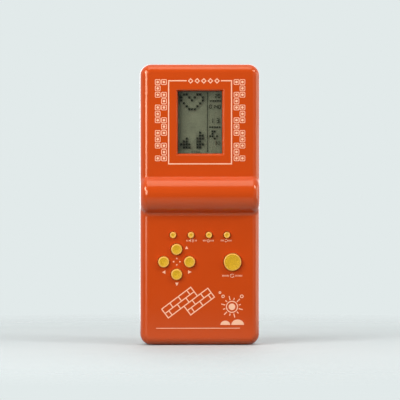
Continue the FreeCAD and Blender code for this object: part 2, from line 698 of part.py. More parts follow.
# Battery cover
def battery_cover():
    bottom = HATCH_BOTTOM + COVER_GAP
    top = HATCH_TOP - COVER_GAP
    half = HATCH_HALF_LENGTH - COVER_GAP
    cover = plate(half, bottom, top, BACK_INSIDE, BACK, COVER_CORNER_RADIUS - COVER_GAP)
    rib = block(
        -CELL_LENGTH / 2,
        CELL_LENGTH / 2,
        BACK_INSIDE - COVER_RIB_HEIGHT,
        BACK_INSIDE,
        HUMP_Z - COVER_RIB_THICKNESS / 2,
        HUMP_Z + COVER_RIB_THICKNESS / 2,
    )
    tabs = []
    for x in (-TAB_X, TAB_X):
        x0, x1 = x - TAB_WIDTH / 2, x + TAB_WIDTH / 2
        y0 = BACK_INSIDE - TAB_THICKNESS - COVER_GAP
        tabs.append(block(x0, x1, y0, BACK_INSIDE, bottom, bottom + TAB_ROOT))
        tabs.append(
            block(x0, x1, y0, BACK_INSIDE - COVER_GAP, HATCH_BOTTOM - TAB_REACH, bottom + TAB_ROOT)
        )
    cover = joined(cover, rib, *tabs)
    grooves = []
    for n in range(GRIP_GROOVES):
        z = top - LATCH_GAP - n * GRIP_PITCH
        grooves.append(
            block(-GRIP_LENGTH / 2, GRIP_LENGTH / 2, BACK - GRIP_DEPTH, BACK, z - GRIP_WIDTH, z)
        )
    return cover.cut(grooves).Solids[0]


def battery_cover_latch():
    """The U-shaped spring arm at the cover's top edge, with its hook and thumb tab."""
    lower, upper, top = latch_heights()
    bend_y = BACK_INSIDE - LATCH_DEPTH + LATCH_GAP / 2 + LATCH_THICKNESS
    outside = LATCH_GAP / 2 + LATCH_THICKNESS
    bend = Vector(0, bend_y, lower + outside)

    def around(radius):
        low = bend - Vector(0, 0, radius)
        high = bend + Vector(0, 0, radius)
        return Part.Arc(low, bend - Vector(0, radius, 0), high).toShape(), low, high

    outer_arc, outer_low, outer_high = around(outside)
    inner_arc, inner_low, inner_high = around(LATCH_GAP / 2)
    face_y = BACK - LATCH_SET_BACK
    hook_back = BACK_INSIDE - COVER_GAP
    hook_front = hook_back - LATCH_HOOK_THICKNESS
    lower_end = [Vector(0, BACK_INSIDE, lower), Vector(0, BACK_INSIDE, lower + LATCH_THICKNESS)]
    upper_end = [
        Vector(0, face_y, upper),
        Vector(0, face_y, top),
        Vector(0, hook_back, top),
        Vector(0, hook_back, top + LATCH_HOOK),
        Vector(0, hook_front, top),
    ]
    edges = [outer_arc, inner_arc]
    edges.append(Part.makeLine(outer_low, lower_end[0]))
    edges.append(Part.makeLine(lower_end[0], lower_end[1]))
    edges.append(Part.makeLine(lower_end[1], inner_low))
    edges.append(Part.makeLine(inner_high, upper_end[0]))
    edges += [Part.makeLine(a, b) for a, b in zip(upper_end, upper_end[1:])]
    edges.append(Part.makeLine(upper_end[-1], outer_high))
    profile = Part.Face(Part.Wire(Part.__sortEdges__(edges)))
    profile.translate(Vector(-LATCH_WIDTH / 2, 0, 0))
    arm = profile.extrude(Vector(LATCH_WIDTH, 0, 0))
    thumb = block(
        -LATCH_WIDTH / 2,
        LATCH_WIDTH / 2,
        BACK_INSIDE + COVER_GAP,
        face_y,
        HATCH_TOP,
        upper,
    )
    return joined(arm, thumb).Solids[0]


# Screen
def pane(half_width, z0, z1, y0, thickness):
    return block(-half_width, half_width, y0, y0 + thickness, z0, z1)


def screen_lens():
    half, rise = lens_half_size()
    return pane(half, WINDOW_Z - rise, WINDOW_Z + rise, SCREEN_INSIDE, LENS_THICKNESS)


def screen_gasket():
    half, rise = lens_half_size()
    ring = pane(half, WINDOW_Z - rise, WINDOW_Z + rise, LENS_BACK, GASKET_THICKNESS)
    open_half = VIEW_HALF_WIDTH - GASKET_REVEAL
    open_rise = VIEW_HALF_HEIGHT - GASKET_REVEAL
    return ring.cut(
        pane(open_half, WINDOW_Z - open_rise, WINDOW_Z + open_rise, LENS_BACK, GASKET_THICKNESS)
    )


def lcd_layers():
    half = GLASS_HALF_WIDTH
    above_ledge = GLASS_BOTTOM + CONTACT_LEDGE
    return {
        "lcd_front_polariser": pane(half, above_ledge, GLASS_TOP, POLARISER_FRONT, POLARISER_THICKNESS),
        "lcd_front_glass": pane(half, GLASS_BOTTOM, GLASS_TOP, GLASS_FRONT, GLASS_THICKNESS),
        "lcd_rear_glass": pane(half, above_ledge, GLASS_TOP, GLASS_MIDDLE, GLASS_THICKNESS),
        "lcd_reflector": pane(half, above_ledge, GLASS_TOP, GLASS_BACK, POLARISER_THICKNESS),
    }


def lcd_holder():
    """A tray behind the glass, with four ears screwed to the front shell."""
    low = GLASS_BOTTOM - SLIDE_GAP - HOLDER_WALL
    high = GLASS_TOP + SLIDE_GAP + HOLDER_WALL
    tray = block(-HOLDER_HALF_WIDTH, HOLDER_HALF_WIDTH, GLASS_FRONT, HOLDER_REAR, low, high)
    ears = []
    holes = []
    for x, z in holder_screw_places():
        x0, x1 = sorted((math.copysign(HOLDER_HALF_WIDTH - HOLDER_WALL / 2, x), x))
        ears.append(block(x0, x1, REFLECTOR_BACK, HOLDER_REAR, z - POST_RADIUS, z + POST_RADIUS))
        ears.append(rod(x, z, REFLECTOR_BACK, HOLDER_REAR, POST_RADIUS))
        holes.append(rod(x, z, REFLECTOR_BACK, HOLDER_REAR, SCREW_RADIUS + SCREW_HOLE_GAP))
    half = GLASS_HALF_WIDTH + SLIDE_GAP
    room = block(
        -half, half, GLASS_FRONT, REFLECTOR_BACK, GLASS_BOTTOM - SLIDE_GAP, GLASS_TOP + SLIDE_GAP
    )
    half = RIBBON_WIDTH / 2 + LUG_GAP
    ribbon_gate = block(-half, half, GLASS_MIDDLE, HOLDER_REAR, low, GLASS_BOTTOM + CONTACT_LEDGE)
    return joined(tray, *ears).cut([room, ribbon_gate, *holes]).Solids[0]


def lcd_ribbon():
    """The flat heat-bonded cable from the glass, past the battery bay, to the board."""
    half_thickness = RIBBON_THICKNESS / 2
    glass_y = GLASS_MIDDLE + half_thickness
    board_y = BOARD_FRONT - half_thickness
    gap_y = (KEY_INSIDE + BAY_FLOOR - BAY_WALL) / 2
    bay_foot = BAY_BOTTOM - BAY_WALL
    points = [
        (0, glass_y, GLASS_BOTTOM + RIBBON_OVERLAP),
        (0, glass_y, HUMP_Z),
        (0, gap_y, HUMP_Z - CELL_RADIUS),
        (0, gap_y, bay_foot + RIBBON_DROP),
        (0, board_y, bay_foot + RIBBON_DROP - (board_y - gap_y)),
        (0, board_y, MAT_TOP + SLIDE_GAP),
    ]
    path, _ = route(points)
    half = RIBBON_WIDTH / 2
    top = points[0][2]
    corners = [
        Vector(-half, glass_y - half_thickness, top),
        Vector(half, glass_y - half_thickness, top),
        Vector(half, glass_y + half_thickness, top),
        Vector(-half, glass_y + half_thickness, top),
    ]
    return path.makePipeShell([Part.makePolygon(corners + corners[:1])], True, False)


# Buttons, mat and pills
def key_pad_radius(cap_radius):
    return SMALL_KEY_PAD_RADIUS if cap_radius == SMALL_CAP_RADIUS else cap_radius - KEY_PAD_SHRINK


def button(x, z, radius, proud):
    """A round cap with a dished face, and the flange that keeps it in the case."""
    top = KEY_FACE - proud
    flange_back = KEY_INSIDE + FLANGE_THICKNESS
    stub = key_pad_radius(radius) - SLIDE_GAP
    outline = [
        (0, top),
        (radius, top),
        (radius, KEY_INSIDE),
        (radius + FLANGE_OVERHANG, KEY_INSIDE),
        (radius + FLANGE_OVERHANG, flange_back),
        (stub, flange_back),
        (stub, KEY_PAD_FRONT),
        (0, KEY_PAD_FRONT),
    ]
    cap = turned(x, z, outline)
    rim = [e for e in cap.Edges if is_round_at(e, top)]
    cap = cap.makeFillet(CAP_EDGE_RADIUS, rim)
    dish_radius = radius - CAP_RIM
    ball_radius = (dish_radius**2 + CAP_DISH**2) / (2 * CAP_DISH)
    ball = Part.makeSphere(ball_radius, Vector(x, top + CAP_DISH - ball_radius, z))
    return cap.cut(ball).Solids[0]


def key_dome(x, z, cap_radius):
    """One hollow rubber key: its pad, its skirt and the foot that joins the mat."""
    pad = key_pad_radius(cap_radius)
    foot = pad + DOME_SPREAD
    return turned(
        x,
        z,
        [
            (0, KEY_PAD_FRONT),
            (pad, KEY_PAD_FRONT),
            (pad, KEY_PAD_FRONT + SKIRT_THICKNESS),
            (foot, MAT_FRONT),
            (foot, BOARD_FRONT),
            (foot - SKIRT_THICKNESS, BOARD_FRONT),
            (pad - SLIDE_GAP, KEY_PAD_BACK),
            (0, KEY_PAD_BACK),
        ],
    )


def keypad_mat():
    sheet = block(-MAT_HALF_WIDTH, MAT_HALF_WIDTH, MAT_FRONT, BOARD_FRONT, MAT_BOTTOM, MAT_TOP)
    holes = [
        rod(x, z, MAT_FRONT, BOARD_FRONT, key_pad_radius(radius) + DOME_SPREAD)
        for x, z, radius, _ in BUTTONS.values()
    ]
    holes += [rod(x, z, MAT_FRONT, BOARD_FRONT, POST_RADIUS + LUG_GAP) for x, z in board_screw_places()]
    domes = [key_dome(x, z, radius) for x, z, radius, _ in BUTTONS.values()]
    return joined(sheet.cut(holes), *domes).Solids[0]


def carbon_pill(x, z, cap_radius):
    return rod(x, z, KEY_PAD_BACK, PILL_BACK, key_pad_radius(cap_radius) - PILL_INSET)


# Board and what is on it
def main_board():
    board = block(
        -BOARD_HALF_WIDTH, BOARD_HALF_WIDTH, BOARD_FRONT, BOARD_BACK, BOARD_BOTTOM, BOARD_TOP
    )
    holes = [
        rod(x, z, BOARD_FRONT, BOARD_BACK, SCREW_RADIUS + SCREW_HOLE_GAP) for x, z in board_screw_places()
    ]
    return board.cut(holes)


def chip_blob():
    """The low dome of black resin over the bare chip."""
    x, z = CHIP_X, BOARD_MIDDLE + CHIP_Z
    ball = (CHIP_RADIUS**2 + CHIP_HEIGHT**2) / (2 * CHIP_HEIGHT)
    dome = Part.makeSphere(ball, Vector(x, BOARD_BACK + CHIP_HEIGHT - ball, z))
    return dome.common(rod(x, z, BOARD_BACK, BOARD_BACK + CHIP_HEIGHT, CHIP_RADIUS)).Solids[0]


def electrolytic_capacitor():
    x, z = CAPACITOR_X, BOARD_MIDDLE + CAPACITOR_Z
    can = rod(x, z, BOARD_BACK, BOARD_BACK + CAPACITOR_HEIGHT, CAPACITOR_RADIUS)
    top = [e for e in can.Edges if is_round_at(e, BOARD_BACK + CAPACITOR_HEIGHT)]
    return can.makeFillet(CAPACITOR_ROUNDING, top)


def resistors():
    """Axial resistors in a column, each on two bent leads."""
    x, z = RESISTOR_X, BOARD_MIDDLE + RESISTOR_Z
    axis_y = BOARD_BACK + RESISTOR_RADIUS + SLIDE_GAP
    half = RESISTOR_LENGTH / 2
    reach = half + 2 * LEAD_SIZE
    made = []
    for n in range(RESISTOR_COUNT):
        level = z - n * RESISTOR_PITCH
        body = Part.makeCylinder(
            RESISTOR_RADIUS, RESISTOR_LENGTH, Vector(x - half, axis_y, level), Vector(1, 0, 0)
        )
        thin = LEAD_SIZE / 2
        bar = block(x - reach, x + reach, axis_y - thin, axis_y + thin, level - thin, level + thin)
        legs = [
            block(x + a, x + b, BOARD_BACK, axis_y + thin, level - thin, level + thin)
            for a, b in ((-reach, -reach + LEAD_SIZE), (reach - LEAD_SIZE, reach))
        ]
        made.append(joined(body, bar, *legs).Solids[0])
    return Part.makeCompound(made)


def ceramic_capacitors():
    """Disc capacitors that stand on their two leads."""
    x, z = DISC_X, BOARD_MIDDLE + DISC_Z
    centre_y = BOARD_BACK + DISC_RADIUS + LEAD_SIZE
    made = []
    for n in range(DISC_COUNT):
        level = z - n * DISC_PITCH
        disc = Part.makeCylinder(
            DISC_RADIUS,
            DISC_THICKNESS,
            Vector(x, centre_y, level - DISC_THICKNESS / 2),
            Vector(0, 0, 1),
        )
        thin = LEAD_SIZE / 2
        legs = [
            block(x + a - thin, x + a + thin, BOARD_BACK, centre_y, level - thin, level + thin)
            for a in (-DISC_RADIUS / 2, DISC_RADIUS / 2)
        ]
        made.append(joined(disc, *legs).Solids[0])
    return Part.makeCompound(made)


# Screws
def screw(x, z, seat, bite_end, radius, head_radius, head_height):
    """A pan-head screw whose head sits on the plane at seat and points to the back."""
    shank = rod(x, z, bite_end, seat, radius)
    head = rod(x, z, seat, seat + head_height, head_radius)
    rim = [e for e in head.Edges if is_round_at(e, seat + head_height)]
    return joined(head.makeFillet(head_height / 2, rim), shank).Solids[0]


def small_screws(places, clamped_front, clamped_back):
    end = clamped_front - SCREW_BITE + TONGUE_GAP
    return Part.makeCompound(
        [
            screw(x, z, clamped_back, end, SCREW_RADIUS, SCREW_HEAD_RADIUS, SCREW_HEAD_HEIGHT)
            for x, z in places
        ]
    )


def case_screws():
    end = CASE_POST_END - CASE_SCREW_BITE + TONGUE_GAP
    return Part.makeCompound(
        [
            screw(
                x, z, SCREW_SEAT, end, CASE_SCREW_RADIUS, CASE_SCREW_HEAD_RADIUS, CASE_SCREW_HEAD_HEIGHT
            )
            for x, z in case_screw_places()
        ]
    )


# Batteries and contacts. side is +1 for a cell whose nub points to +X
def cell_start(side):
    """Where a cell's flat end is: one spring's length from its contact plate."""
    return -side * (BAY_HALF_LENGTH - PLATE_THICKNESS - SPRING_LENGTH)


def battery(z, side):
    start = Vector(cell_start(side), CELL_Y, z)
    along = Vector(side, 0, 0)
    can = Part.makeCylinder(
        CELL_RADIUS - LABEL_THICKNESS, CELL_LENGTH - CELL_NUB_LENGTH, start, along
    )
    can = can.makeFillet(CELL_SHOULDER, [e for e in can.Edges if isinstance(e.Curve, Part.Circle)])
    shoulder = start + along * (CELL_LENGTH - CELL_NUB_LENGTH - CELL_SHOULDER)
    nub = Part.makeCylinder(CELL_NUB_RADIUS, CELL_NUB_LENGTH + CELL_SHOULDER, shoulder, along)
    return joined(can, nub).Solids[0]


def battery_label(z, side):
    """The printed sleeve round a cell."""
    along = Vector(side, 0, 0)
    start = Vector(cell_start(side), CELL_Y, z) + along * LABEL_SETBACK
    length = CELL_LENGTH - CELL_NUB_LENGTH - 2 * LABEL_SETBACK
    sleeve = Part.makeCylinder(CELL_RADIUS, length, start, along)
    return sleeve.cut(Part.makeCylinder(CELL_RADIUS - LABEL_THICKNESS, length, start, along))


def contact_plate(side, heights, z_low, z_high, with_lug):
    """A sprung steel plate against a bay end, with a pressed bump at each height."""
    outer = side * BAY_HALF_LENGTH
    inner = outer - side * PLATE_THICKNESS
    x0, x1 = sorted((outer, inner))
    body = block(x0, x1, CELL_Y - PLATE_WIDTH / 2, CELL_Y + PLATE_WIDTH / 2, z_low, z_high)
    extras = [
        Part.makeCone(
            BUMP_RADIUS, BUMP_RADIUS / 2, BUMP_HEIGHT, Vector(inner, CELL_Y, z), Vector(-side, 0, 0)
        )
        for z in heights
    ]
    if with_lug:
        middle = (z_low + z_high) / 2
        front, back = lug_span()
        extras.append(
            block(inner, inner + LUG_LENGTH, front, back, middle - LUG_WIDTH / 2, middle + LUG_WIDTH / 2)
        )
    return joined(body, *extras).Solids[0] if extras else body


def contact_plates():
    upper, lower = CELL_HEIGHTS
    half = PLATE_LENGTH / 2
    return {
        "contact_link_plate": contact_plate(-1, [lower], lower - half, upper + half, False),
        "contact_positive_plate": contact_plate(1, [upper], upper - half, upper + half, True),
        "contact_negative_plate": contact_plate(1, [], lower - half, lower + half, True),
    }


def battery_spring(z, side):
    """A conical spring of round wire, from its plate to the flat end of its cell."""
    plate_x = cell_start(side) - side * SPRING_LENGTH
    rise = SPRING_LENGTH - 2 * SPRING_END_RISE
    along = Vector(side, 0, 0)
    quarters = 4 * SPRING_TURNS

    def at(share):
        angle = 2 * math.pi * SPRING_TURNS * share
        radius = SPRING_LARGE_RADIUS + (SPRING_SMALL_RADIUS - SPRING_LARGE_RADIUS) * share
        spoke = Vector(0, math.cos(angle), math.sin(angle))
        around = Vector(0, -math.sin(angle), math.cos(angle))
        place = Vector(plate_x, CELL_Y, z) + along * (SPRING_END_RISE + rise * share) + spoke * radius
        speed = along * rise + spoke * (SPRING_SMALL_RADIUS - SPRING_LARGE_RADIUS)
        return place, (speed + around * (radius * 2 * math.pi * SPRING_TURNS)).normalize()

    stops = [at(n / quarters) for n in range(quarters + 1)]
    wire = 2 * SPRING_WIRE_RADIUS
    foot, foot_heading = stops[0]
    tip, tip_heading = stops[-1]
    foot_start = Vector(plate_x, foot.y, foot.z) - foot_heading.cross(along).cross(along) * -wire
    tip_end = Vector(cell_start(side), tip.y, tip.z) + tip_heading.cross(along).cross(along) * -wire
    edges = [Part.LineSegment(foot_start, foot_start + along * wire).toShape()]
    edges += biarc(foot_start + along * wire, along, foot, foot_heading)
    for (p, t), (q, u) in zip(stops, stops[1:]):
        edges += biarc(p, t, q, u)
    edges += biarc(tip, tip_heading, tip_end - along * wire, along)
    edges.append(Part.LineSegment(tip_end - along * wire, tip_end).toShape())
    path = Part.Wire(edges)
    section = Part.Wire(Part.makeCircle(SPRING_WIRE_RADIUS, foot_start, along))
    turn_gap = math.hypot(rise, SPRING_LARGE_RADIUS - SPRING_SMALL_RADIUS) / SPRING_TURNS - wire
    print("spring: least gap between turns", round(turn_gap, 2), "length", round(path.Length, 1))
    return path.makePipeShell([section], True, False)


# Buzzer and wires
def buzzer_disc():
    seat = BACK_INSIDE - BUZZER_CHAMBER
    return rod(0, BUZZER_Z, seat - BUZZER_PLATE_THICKNESS, seat, BUZZER_RADIUS)


def buzzer_ceramic():
    back = BACK_INSIDE - BUZZER_CHAMBER - BUZZER_PLATE_THICKNESS
    return rod(0, BUZZER_Z, back - BUZZER_PLATE_THICKNESS, back, CERAMIC_RADIUS)


def battery_wires():
    """The red and black leads, from the solder lugs round to the back of the board."""
    upper, lower = CELL_HEIGHTS
    lug_y = sum(lug_span()) / 2
    lug_x = BAY_HALF_LENGTH - PLATE_THICKNESS + LUG_LENGTH - WIRE_RADIUS - SLIDE_GAP
    channel_x = CASE_WIDTH / 2 - WALL - 2 * WIRE_RADIUS
    red = [
        (lug_x, lug_y, upper - LUG_WIDTH / 2),
        (lug_x, lug_y, upper - LUG_WIDTH / 2 - 3.5),
        (channel_x, lug_y + 0.6, upper - 9.0),
        (channel_x, lug_y + 0.4, lower - 2.0),
        (channel_x - 1.0, lug_y + 1.2, BAY_BOTTOM - 2.5),
        (lug_x - 4.4, BOARD_BACK + 3.8, BAY_BOTTOM - 7.5),
        (lug_x - 11.8, BOARD_BACK + 5.0, BOARD_TOP - 7.4),
        (lug_x - 11.8, BOARD_BACK, BOARD_TOP - 7.4),
    ]
    black = [
        (lug_x, lug_y, lower - LUG_WIDTH / 2),
        (lug_x, lug_y, lower - LUG_WIDTH / 2 - 4.0),
        (lug_x - 1.2, BOARD_BACK + 2.6, BAY_BOTTOM - 4.0),
        (lug_x - 8.4, BOARD_BACK + 5.6, BOARD_TOP - 4.6),
        (lug_x - 17.8, BOARD_BACK + 5.2, BOARD_TOP - 6.0),
        (lug_x - 17.8, BOARD_BACK, BOARD_TOP - 6.0),
    ]
    return {
        "wire_red": tube(red, WIRE_RADIUS, "wire_red"),
        "wire_black": tube(black, WIRE_RADIUS, "wire_black"),
    }


def buzzer_wires():
    """Two thin leads, from the buzzer's ceramic and its brass plate to the back of the board."""
    brass_front = BACK_INSIDE - BUZZER_CHAMBER - BUZZER_PLATE_THICKNESS
    ceramic_front = brass_front - BUZZER_PLATE_THICKNESS
    from_ceramic = [
        (3.0, ceramic_front, BUZZER_Z + 2.0),
        (3.0, ceramic_front - 4.0, BUZZER_Z + 2.0),
        (6.0, ceramic_front - 6.0, BUZZER_Z + 8.0),
        (10.0, BOARD_BACK + 4.5, BOARD_BOTTOM + 7.5),
        (10.0, BOARD_BACK, BOARD_BOTTOM + 7.5),
    ]
    from_brass = [
        (8.4, brass_front, BUZZER_Z + 1.0),
        (8.4, brass_front - 4.2, BUZZER_Z + 1.0),
        (11.5, brass_front - 6.0, BUZZER_Z + 7.0),
        (14.8, BOARD_BACK + 4.2, BOARD_BOTTOM + 6.5),
        (14.8, BOARD_BACK, BOARD_BOTTOM + 6.5),
    ]
    return Part.makeCompound(
        [
            tube(from_ceramic, THIN_WIRE_RADIUS, "buzzer wire from the ceramic"),
            tube(from_brass, THIN_WIRE_RADIUS, "buzzer wire from the brass"),
        ]
    )


def build():
    upper, lower = CELL_HEIGHTS
    nodes = {
        "front_shell": front_shell(),
        "rear_shell": rear_shell(),
        "battery_cover": battery_cover(),
        "battery_cover_latch": battery_cover_latch(),
        "screen_lens": screen_lens(),
        "screen_gasket": screen_gasket(),
        "lcd_holder": lcd_holder(),
        "lcd_ribbon": lcd_ribbon(),
        "lcd_screws": small_screws(holder_screw_places(), REFLECTOR_BACK, HOLDER_REAR),
        "keypad_mat": keypad_mat(),
        "main_board": main_board(),
        "board_screws": small_screws(board_screw_places(), BOARD_FRONT, BOARD_BACK),
        "chip_blob": chip_blob(),
        "electrolytic_capacitor": electrolytic_capacitor(),
        "resistors": resistors(),
        "ceramic_capacitors": ceramic_capacitors(),
        "case_screws": case_screws(),
        "battery_upper": battery(upper, 1),
        "battery_lower": battery(lower, -1),
        "battery_labels": Part.makeCompound([battery_label(upper, 1), battery_label(lower, -1)]),
        "battery_spring_upper": battery_spring(upper, 1),
        "battery_spring_lower": battery_spring(lower, -1),
        "buzzer_disc": buzzer_disc(),
        "buzzer_ceramic": buzzer_ceramic(),
        "buzzer_wires": buzzer_wires(),
    }
    nodes.update(lcd_layers())
    nodes.update(contact_plates())
    nodes.update(battery_wires())
    for name, (x, z, radius, proud) in BUTTONS.items():
        nodes[name] = button(x, z, radius, proud)
        nodes[name.replace("button", "pill")] = carbon_pill(x, z, radius)
    return nodes


os.makedirs("parts", exist_ok=True)
for node, shape in build().items():
    if not shape.isValid() or not shape.Solids:
        print("not valid:", node)
    shape.exportStep(os.path.join("parts", node + ".step"))
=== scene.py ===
"""The looks of the handheld brick game: plastics, print, screen picture and a plain studio.

Places are in millimetres in the CAD frame, as in the part's source: X across, -Y front, Z up."""

import functools
import math

import bmesh
import bpy
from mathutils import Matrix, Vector


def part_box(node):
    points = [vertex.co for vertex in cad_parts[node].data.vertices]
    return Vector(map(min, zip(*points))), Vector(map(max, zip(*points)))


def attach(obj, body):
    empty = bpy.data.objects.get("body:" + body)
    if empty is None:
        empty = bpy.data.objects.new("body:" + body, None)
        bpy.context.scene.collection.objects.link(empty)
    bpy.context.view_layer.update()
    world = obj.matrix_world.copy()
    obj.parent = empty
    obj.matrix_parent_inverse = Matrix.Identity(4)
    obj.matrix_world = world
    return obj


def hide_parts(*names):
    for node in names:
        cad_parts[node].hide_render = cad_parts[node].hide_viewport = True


MM = 0.001

# Planes of the case, and how far ink stands out of them and reaches into them
SCREEN_FACE = -9.8
KEY_FACE = -7.0
BACK_FACE = 16.0
INK_PROUD = 0.03
INK_SUNK = 0.02

# Each button's middle and how far out the texture of its face goes
KEYS = {
    "button_start": (-16.995, 69.5, 1.2),
    "button_sound": (-5.665, 69.5, 1.2),
    "button_power": (5.665, 69.5, 1.2),
    "button_reset": (16.995, 69.5, 1.2),
    "button_up": (-14.75, 60.5, 2.85),
    "button_down": (-14.75, 44.7, 2.85),
    "button_left": (-22.9, 52.6, 2.85),
    "button_right": (-6.6, 52.6, 2.85),
    "button_turn": (20.5, 52.4, 5.0),
}

# The cells' sleeves: middle of the pair, height of each cell off it, and radius
CELL_MIDDLE_Y = 6.45
CELL_MIDDLE_Z = 95.3
CELL_RISE = 7.6
SLEEVE_RADIUS = 7.25

# Case screws, and the half length and depth of the cross in each head
CASE_SCREWS = [(x, z) for x in (-32.1, 32.1) for z in (10.8, 66.05, 166.2)]
CROSS_REACH = 1.25
CROSS_DEPTH = 1.1

# Resistors: middle of the row, half length and half width of a band, and each band's place
RESISTOR_MIDDLE = -20.0
COAT_REACH = 2.25
BAND_REACH = 0.17
RESISTOR_BANDS = {
    -21.3: (116, 60, 30),
    -20.5: (24, 24, 24),
    -19.7: (196, 52, 34),
    -18.6: (178, 140, 52),
}

# Gloss of the coloured plastics: strength and tint
GLOSS_LEVEL = 0.72
GLOSS_TINT = (1.0, 0.9, 0.66, 1.0)

# Printing: widths of its lines
MARK_LINE = 0.28
FRAME_LINE = 0.7
BRICK_LINE = 0.66
SUN_LINE = 0.6

# The screen's picture cells: middle of the first, pitches, and the share of a pitch that is lit
FIRST_CELL = (-11.72, 157.98)
CELL_PITCH = (1.69, 1.85)
CELL_FILL = 0.86

# Left and right edge of the line between the cells and the side column
DIVIDER = (4.5, 4.95)

# Rows of lit cells, from the first row down
HEART = ("0110001100", "1001010010", "1000100010", "0100000100", "0010001000", "0001110000")
TOWERS = {
    13: "0000000100",
    14: "0000000110",
    15: "0010001110",
    16: "0110001100",
    17: "1111001110",
    18: "0111001100",
}
PREVIEW = ("0110", "0100", "1101", "0010")
DIGIT_SEGMENTS = {"0": "abcdef", "1": "bc", "2": "abdeg", "3": "abcdg", "4": "bcfg"}

# What the lamps face, in metres
OBJECT_MIDDLE = Vector((0.0, 0.0, 0.09))


def srgb(red, green, blue):
    """A linear colour from the 0-255 values that a screen shows."""
    shares = [value / 255 for value in (red, green, blue)]
    linear = [s / 12.92 if s <= 0.04045 else ((s + 0.055) / 1.055) ** 2.4 for s in shares]
    return (*linear, 1.0)


def scaled(colour, factor):
    return (*[min(1.0, channel * factor) for channel in colour[:3]], 1.0)


# Shader nodes
def put(tree, socket, value):
    """Links an output to a socket, or sets the socket's own value."""
    if isinstance(value, bpy.types.NodeSocket):
        tree.links.new(value, socket)
    else:
        socket.default_value = value


def add_node(tree, kind, inputs=None, **settings):
    node = tree.nodes.new(kind)
    for name, value in settings.items():
        setattr(node, name, value)
    for key, value in (inputs or {}).items():
        put(tree, node.inputs[key], value)
    return node


class Recipe:
    """A material and short ways to add nodes to it."""

    def __init__(self, name, **inputs):
        self.material = bpy.data.materials.new(name)
        self.material.use_nodes = True
        self.tree = self.material.node_tree
        self.shader = self.tree.nodes["Principled BSDF"]
        self.output = self.tree.nodes["Material Output"]
        self.add = functools.partial(add_node, self.tree)
        self.place = self.add("ShaderNodeTexCoord").outputs["Object"]
        for socket, value in inputs.items():
            self.feed(socket.replace("_", " "), value)

    def feed(self, socket, value):
        """Gives the shader a value or a link at the socket of that name."""
        put(self.tree, self.shader.inputs[socket], value)

    def surface(self, shader):
        put(self.tree, self.output.inputs["Surface"], shader)

    def compute(self, operation, first, second=0.0, third=0.0):
        values = {0: first, 1: second, 2: third}
        return self.add("ShaderNodeMath", values, operation=operation).outputs[0]

    def remap(self, value, low, high, start=0.0, end=1.0):
        """value taken from low..high to start..end, and held there past them."""
        values = {"Value": value, "From Min": low, "From Max": high, "To Min": start, "To Max": end}
        return self.add("ShaderNodeMapRange", values).outputs["Result"]

    def squares(self, first, second):
        """The sum of two values' squares."""
        powers = [self.compute("POWER", value, 2.0) for value in (first, second)]
        return self.compute("ADD", *powers)

    def stretched(self, x, y, z):
        """The place on the object, with each axis scaled."""
        return self.add("ShaderNodeMapping", {"Vector": self.place, "Scale": (x, y, z)}).outputs[0]

    def noise(self, scale, detail=2.0, vector=None):
        values = {"Vector": vector or self.place, "Scale": scale, "Detail": detail}
        return self.add("ShaderNodeTexNoise", values).outputs["Fac"]

    def bricks(self, vector, width, height, mortar, smooth, offset=0.5):
        """1 in the mortar between bricks and 0 in them. Lengths are in millimetres."""
        values = {
            "Vector": vector,
            "Scale": 1.0,
            "Mortar Size": mortar * MM,
            "Mortar Smooth": smooth,
            "Brick Width": width * MM,
            "Row Height": height * MM,
        }
        return self.add("ShaderNodeTexBrick", values, offset=offset).outputs["Fac"]

    def mix(self, share, first, second):
        values = {0: share, 6: first, 7: second}
        return self.add("ShaderNodeMix", values, data_type="RGBA").outputs[2]

    def axes(self, vector=None):
        split = self.add("ShaderNodeSeparateXYZ", {0: vector or self.place})
        return split.outputs[0], split.outputs[1], split.outputs[2]

    def flat(self):
        """The place on the object as seen from the front, across and up."""
        across, _, up = self.axes()
        return self.add("ShaderNodeCombineXYZ", {0: across, 1: up}).outputs[0]

    def bump(self, height, strength, distance):
        values = {"Height": height, "Strength": strength, "Distance": distance}
        self.feed("Normal", self.add("ShaderNodeBump", values).outputs[0])

    def look(self, colour, roughness):
        self.feed("Base Color", colour)
        self.feed("Roughness", roughness)


# Materials
def clouded(recipe, colour, spread, scale):
    """A colour that drifts a little darker and lighter over the surface."""
    drift = recipe.remap(recipe.noise(scale, 3.0), 0.3, 0.7)
    return recipe.mix(drift, scaled(colour, 1 - spread), scaled(colour, 1 + spread))


def moulded_plastic(name, colour, gloss, peel=0.12):
    """Glossy moulded plastic with flow clouds, a faint orange peel and hairline scuffs."""
    recipe = Recipe(name, Specular_IOR_Level=GLOSS_LEVEL, Specular_Tint=GLOSS_TINT)
    haze = recipe.remap(recipe.noise(90.0, 4.0), 0.35, 0.75, gloss, gloss + 0.05)
    hairs = recipe.noise(1.0, 3.0, recipe.stretched(2600.0, 700.0, 70.0))
    scuffs = recipe.remap(hairs, 0.66, 0.74, 0.0, 0.12)
    recipe.look(clouded(recipe, colour, 0.035, 22.0), recipe.compute("ADD", haze, scuffs))
    recipe.bump(recipe.noise(650.0, 2.0), peel, 0.0001)
    return recipe.material


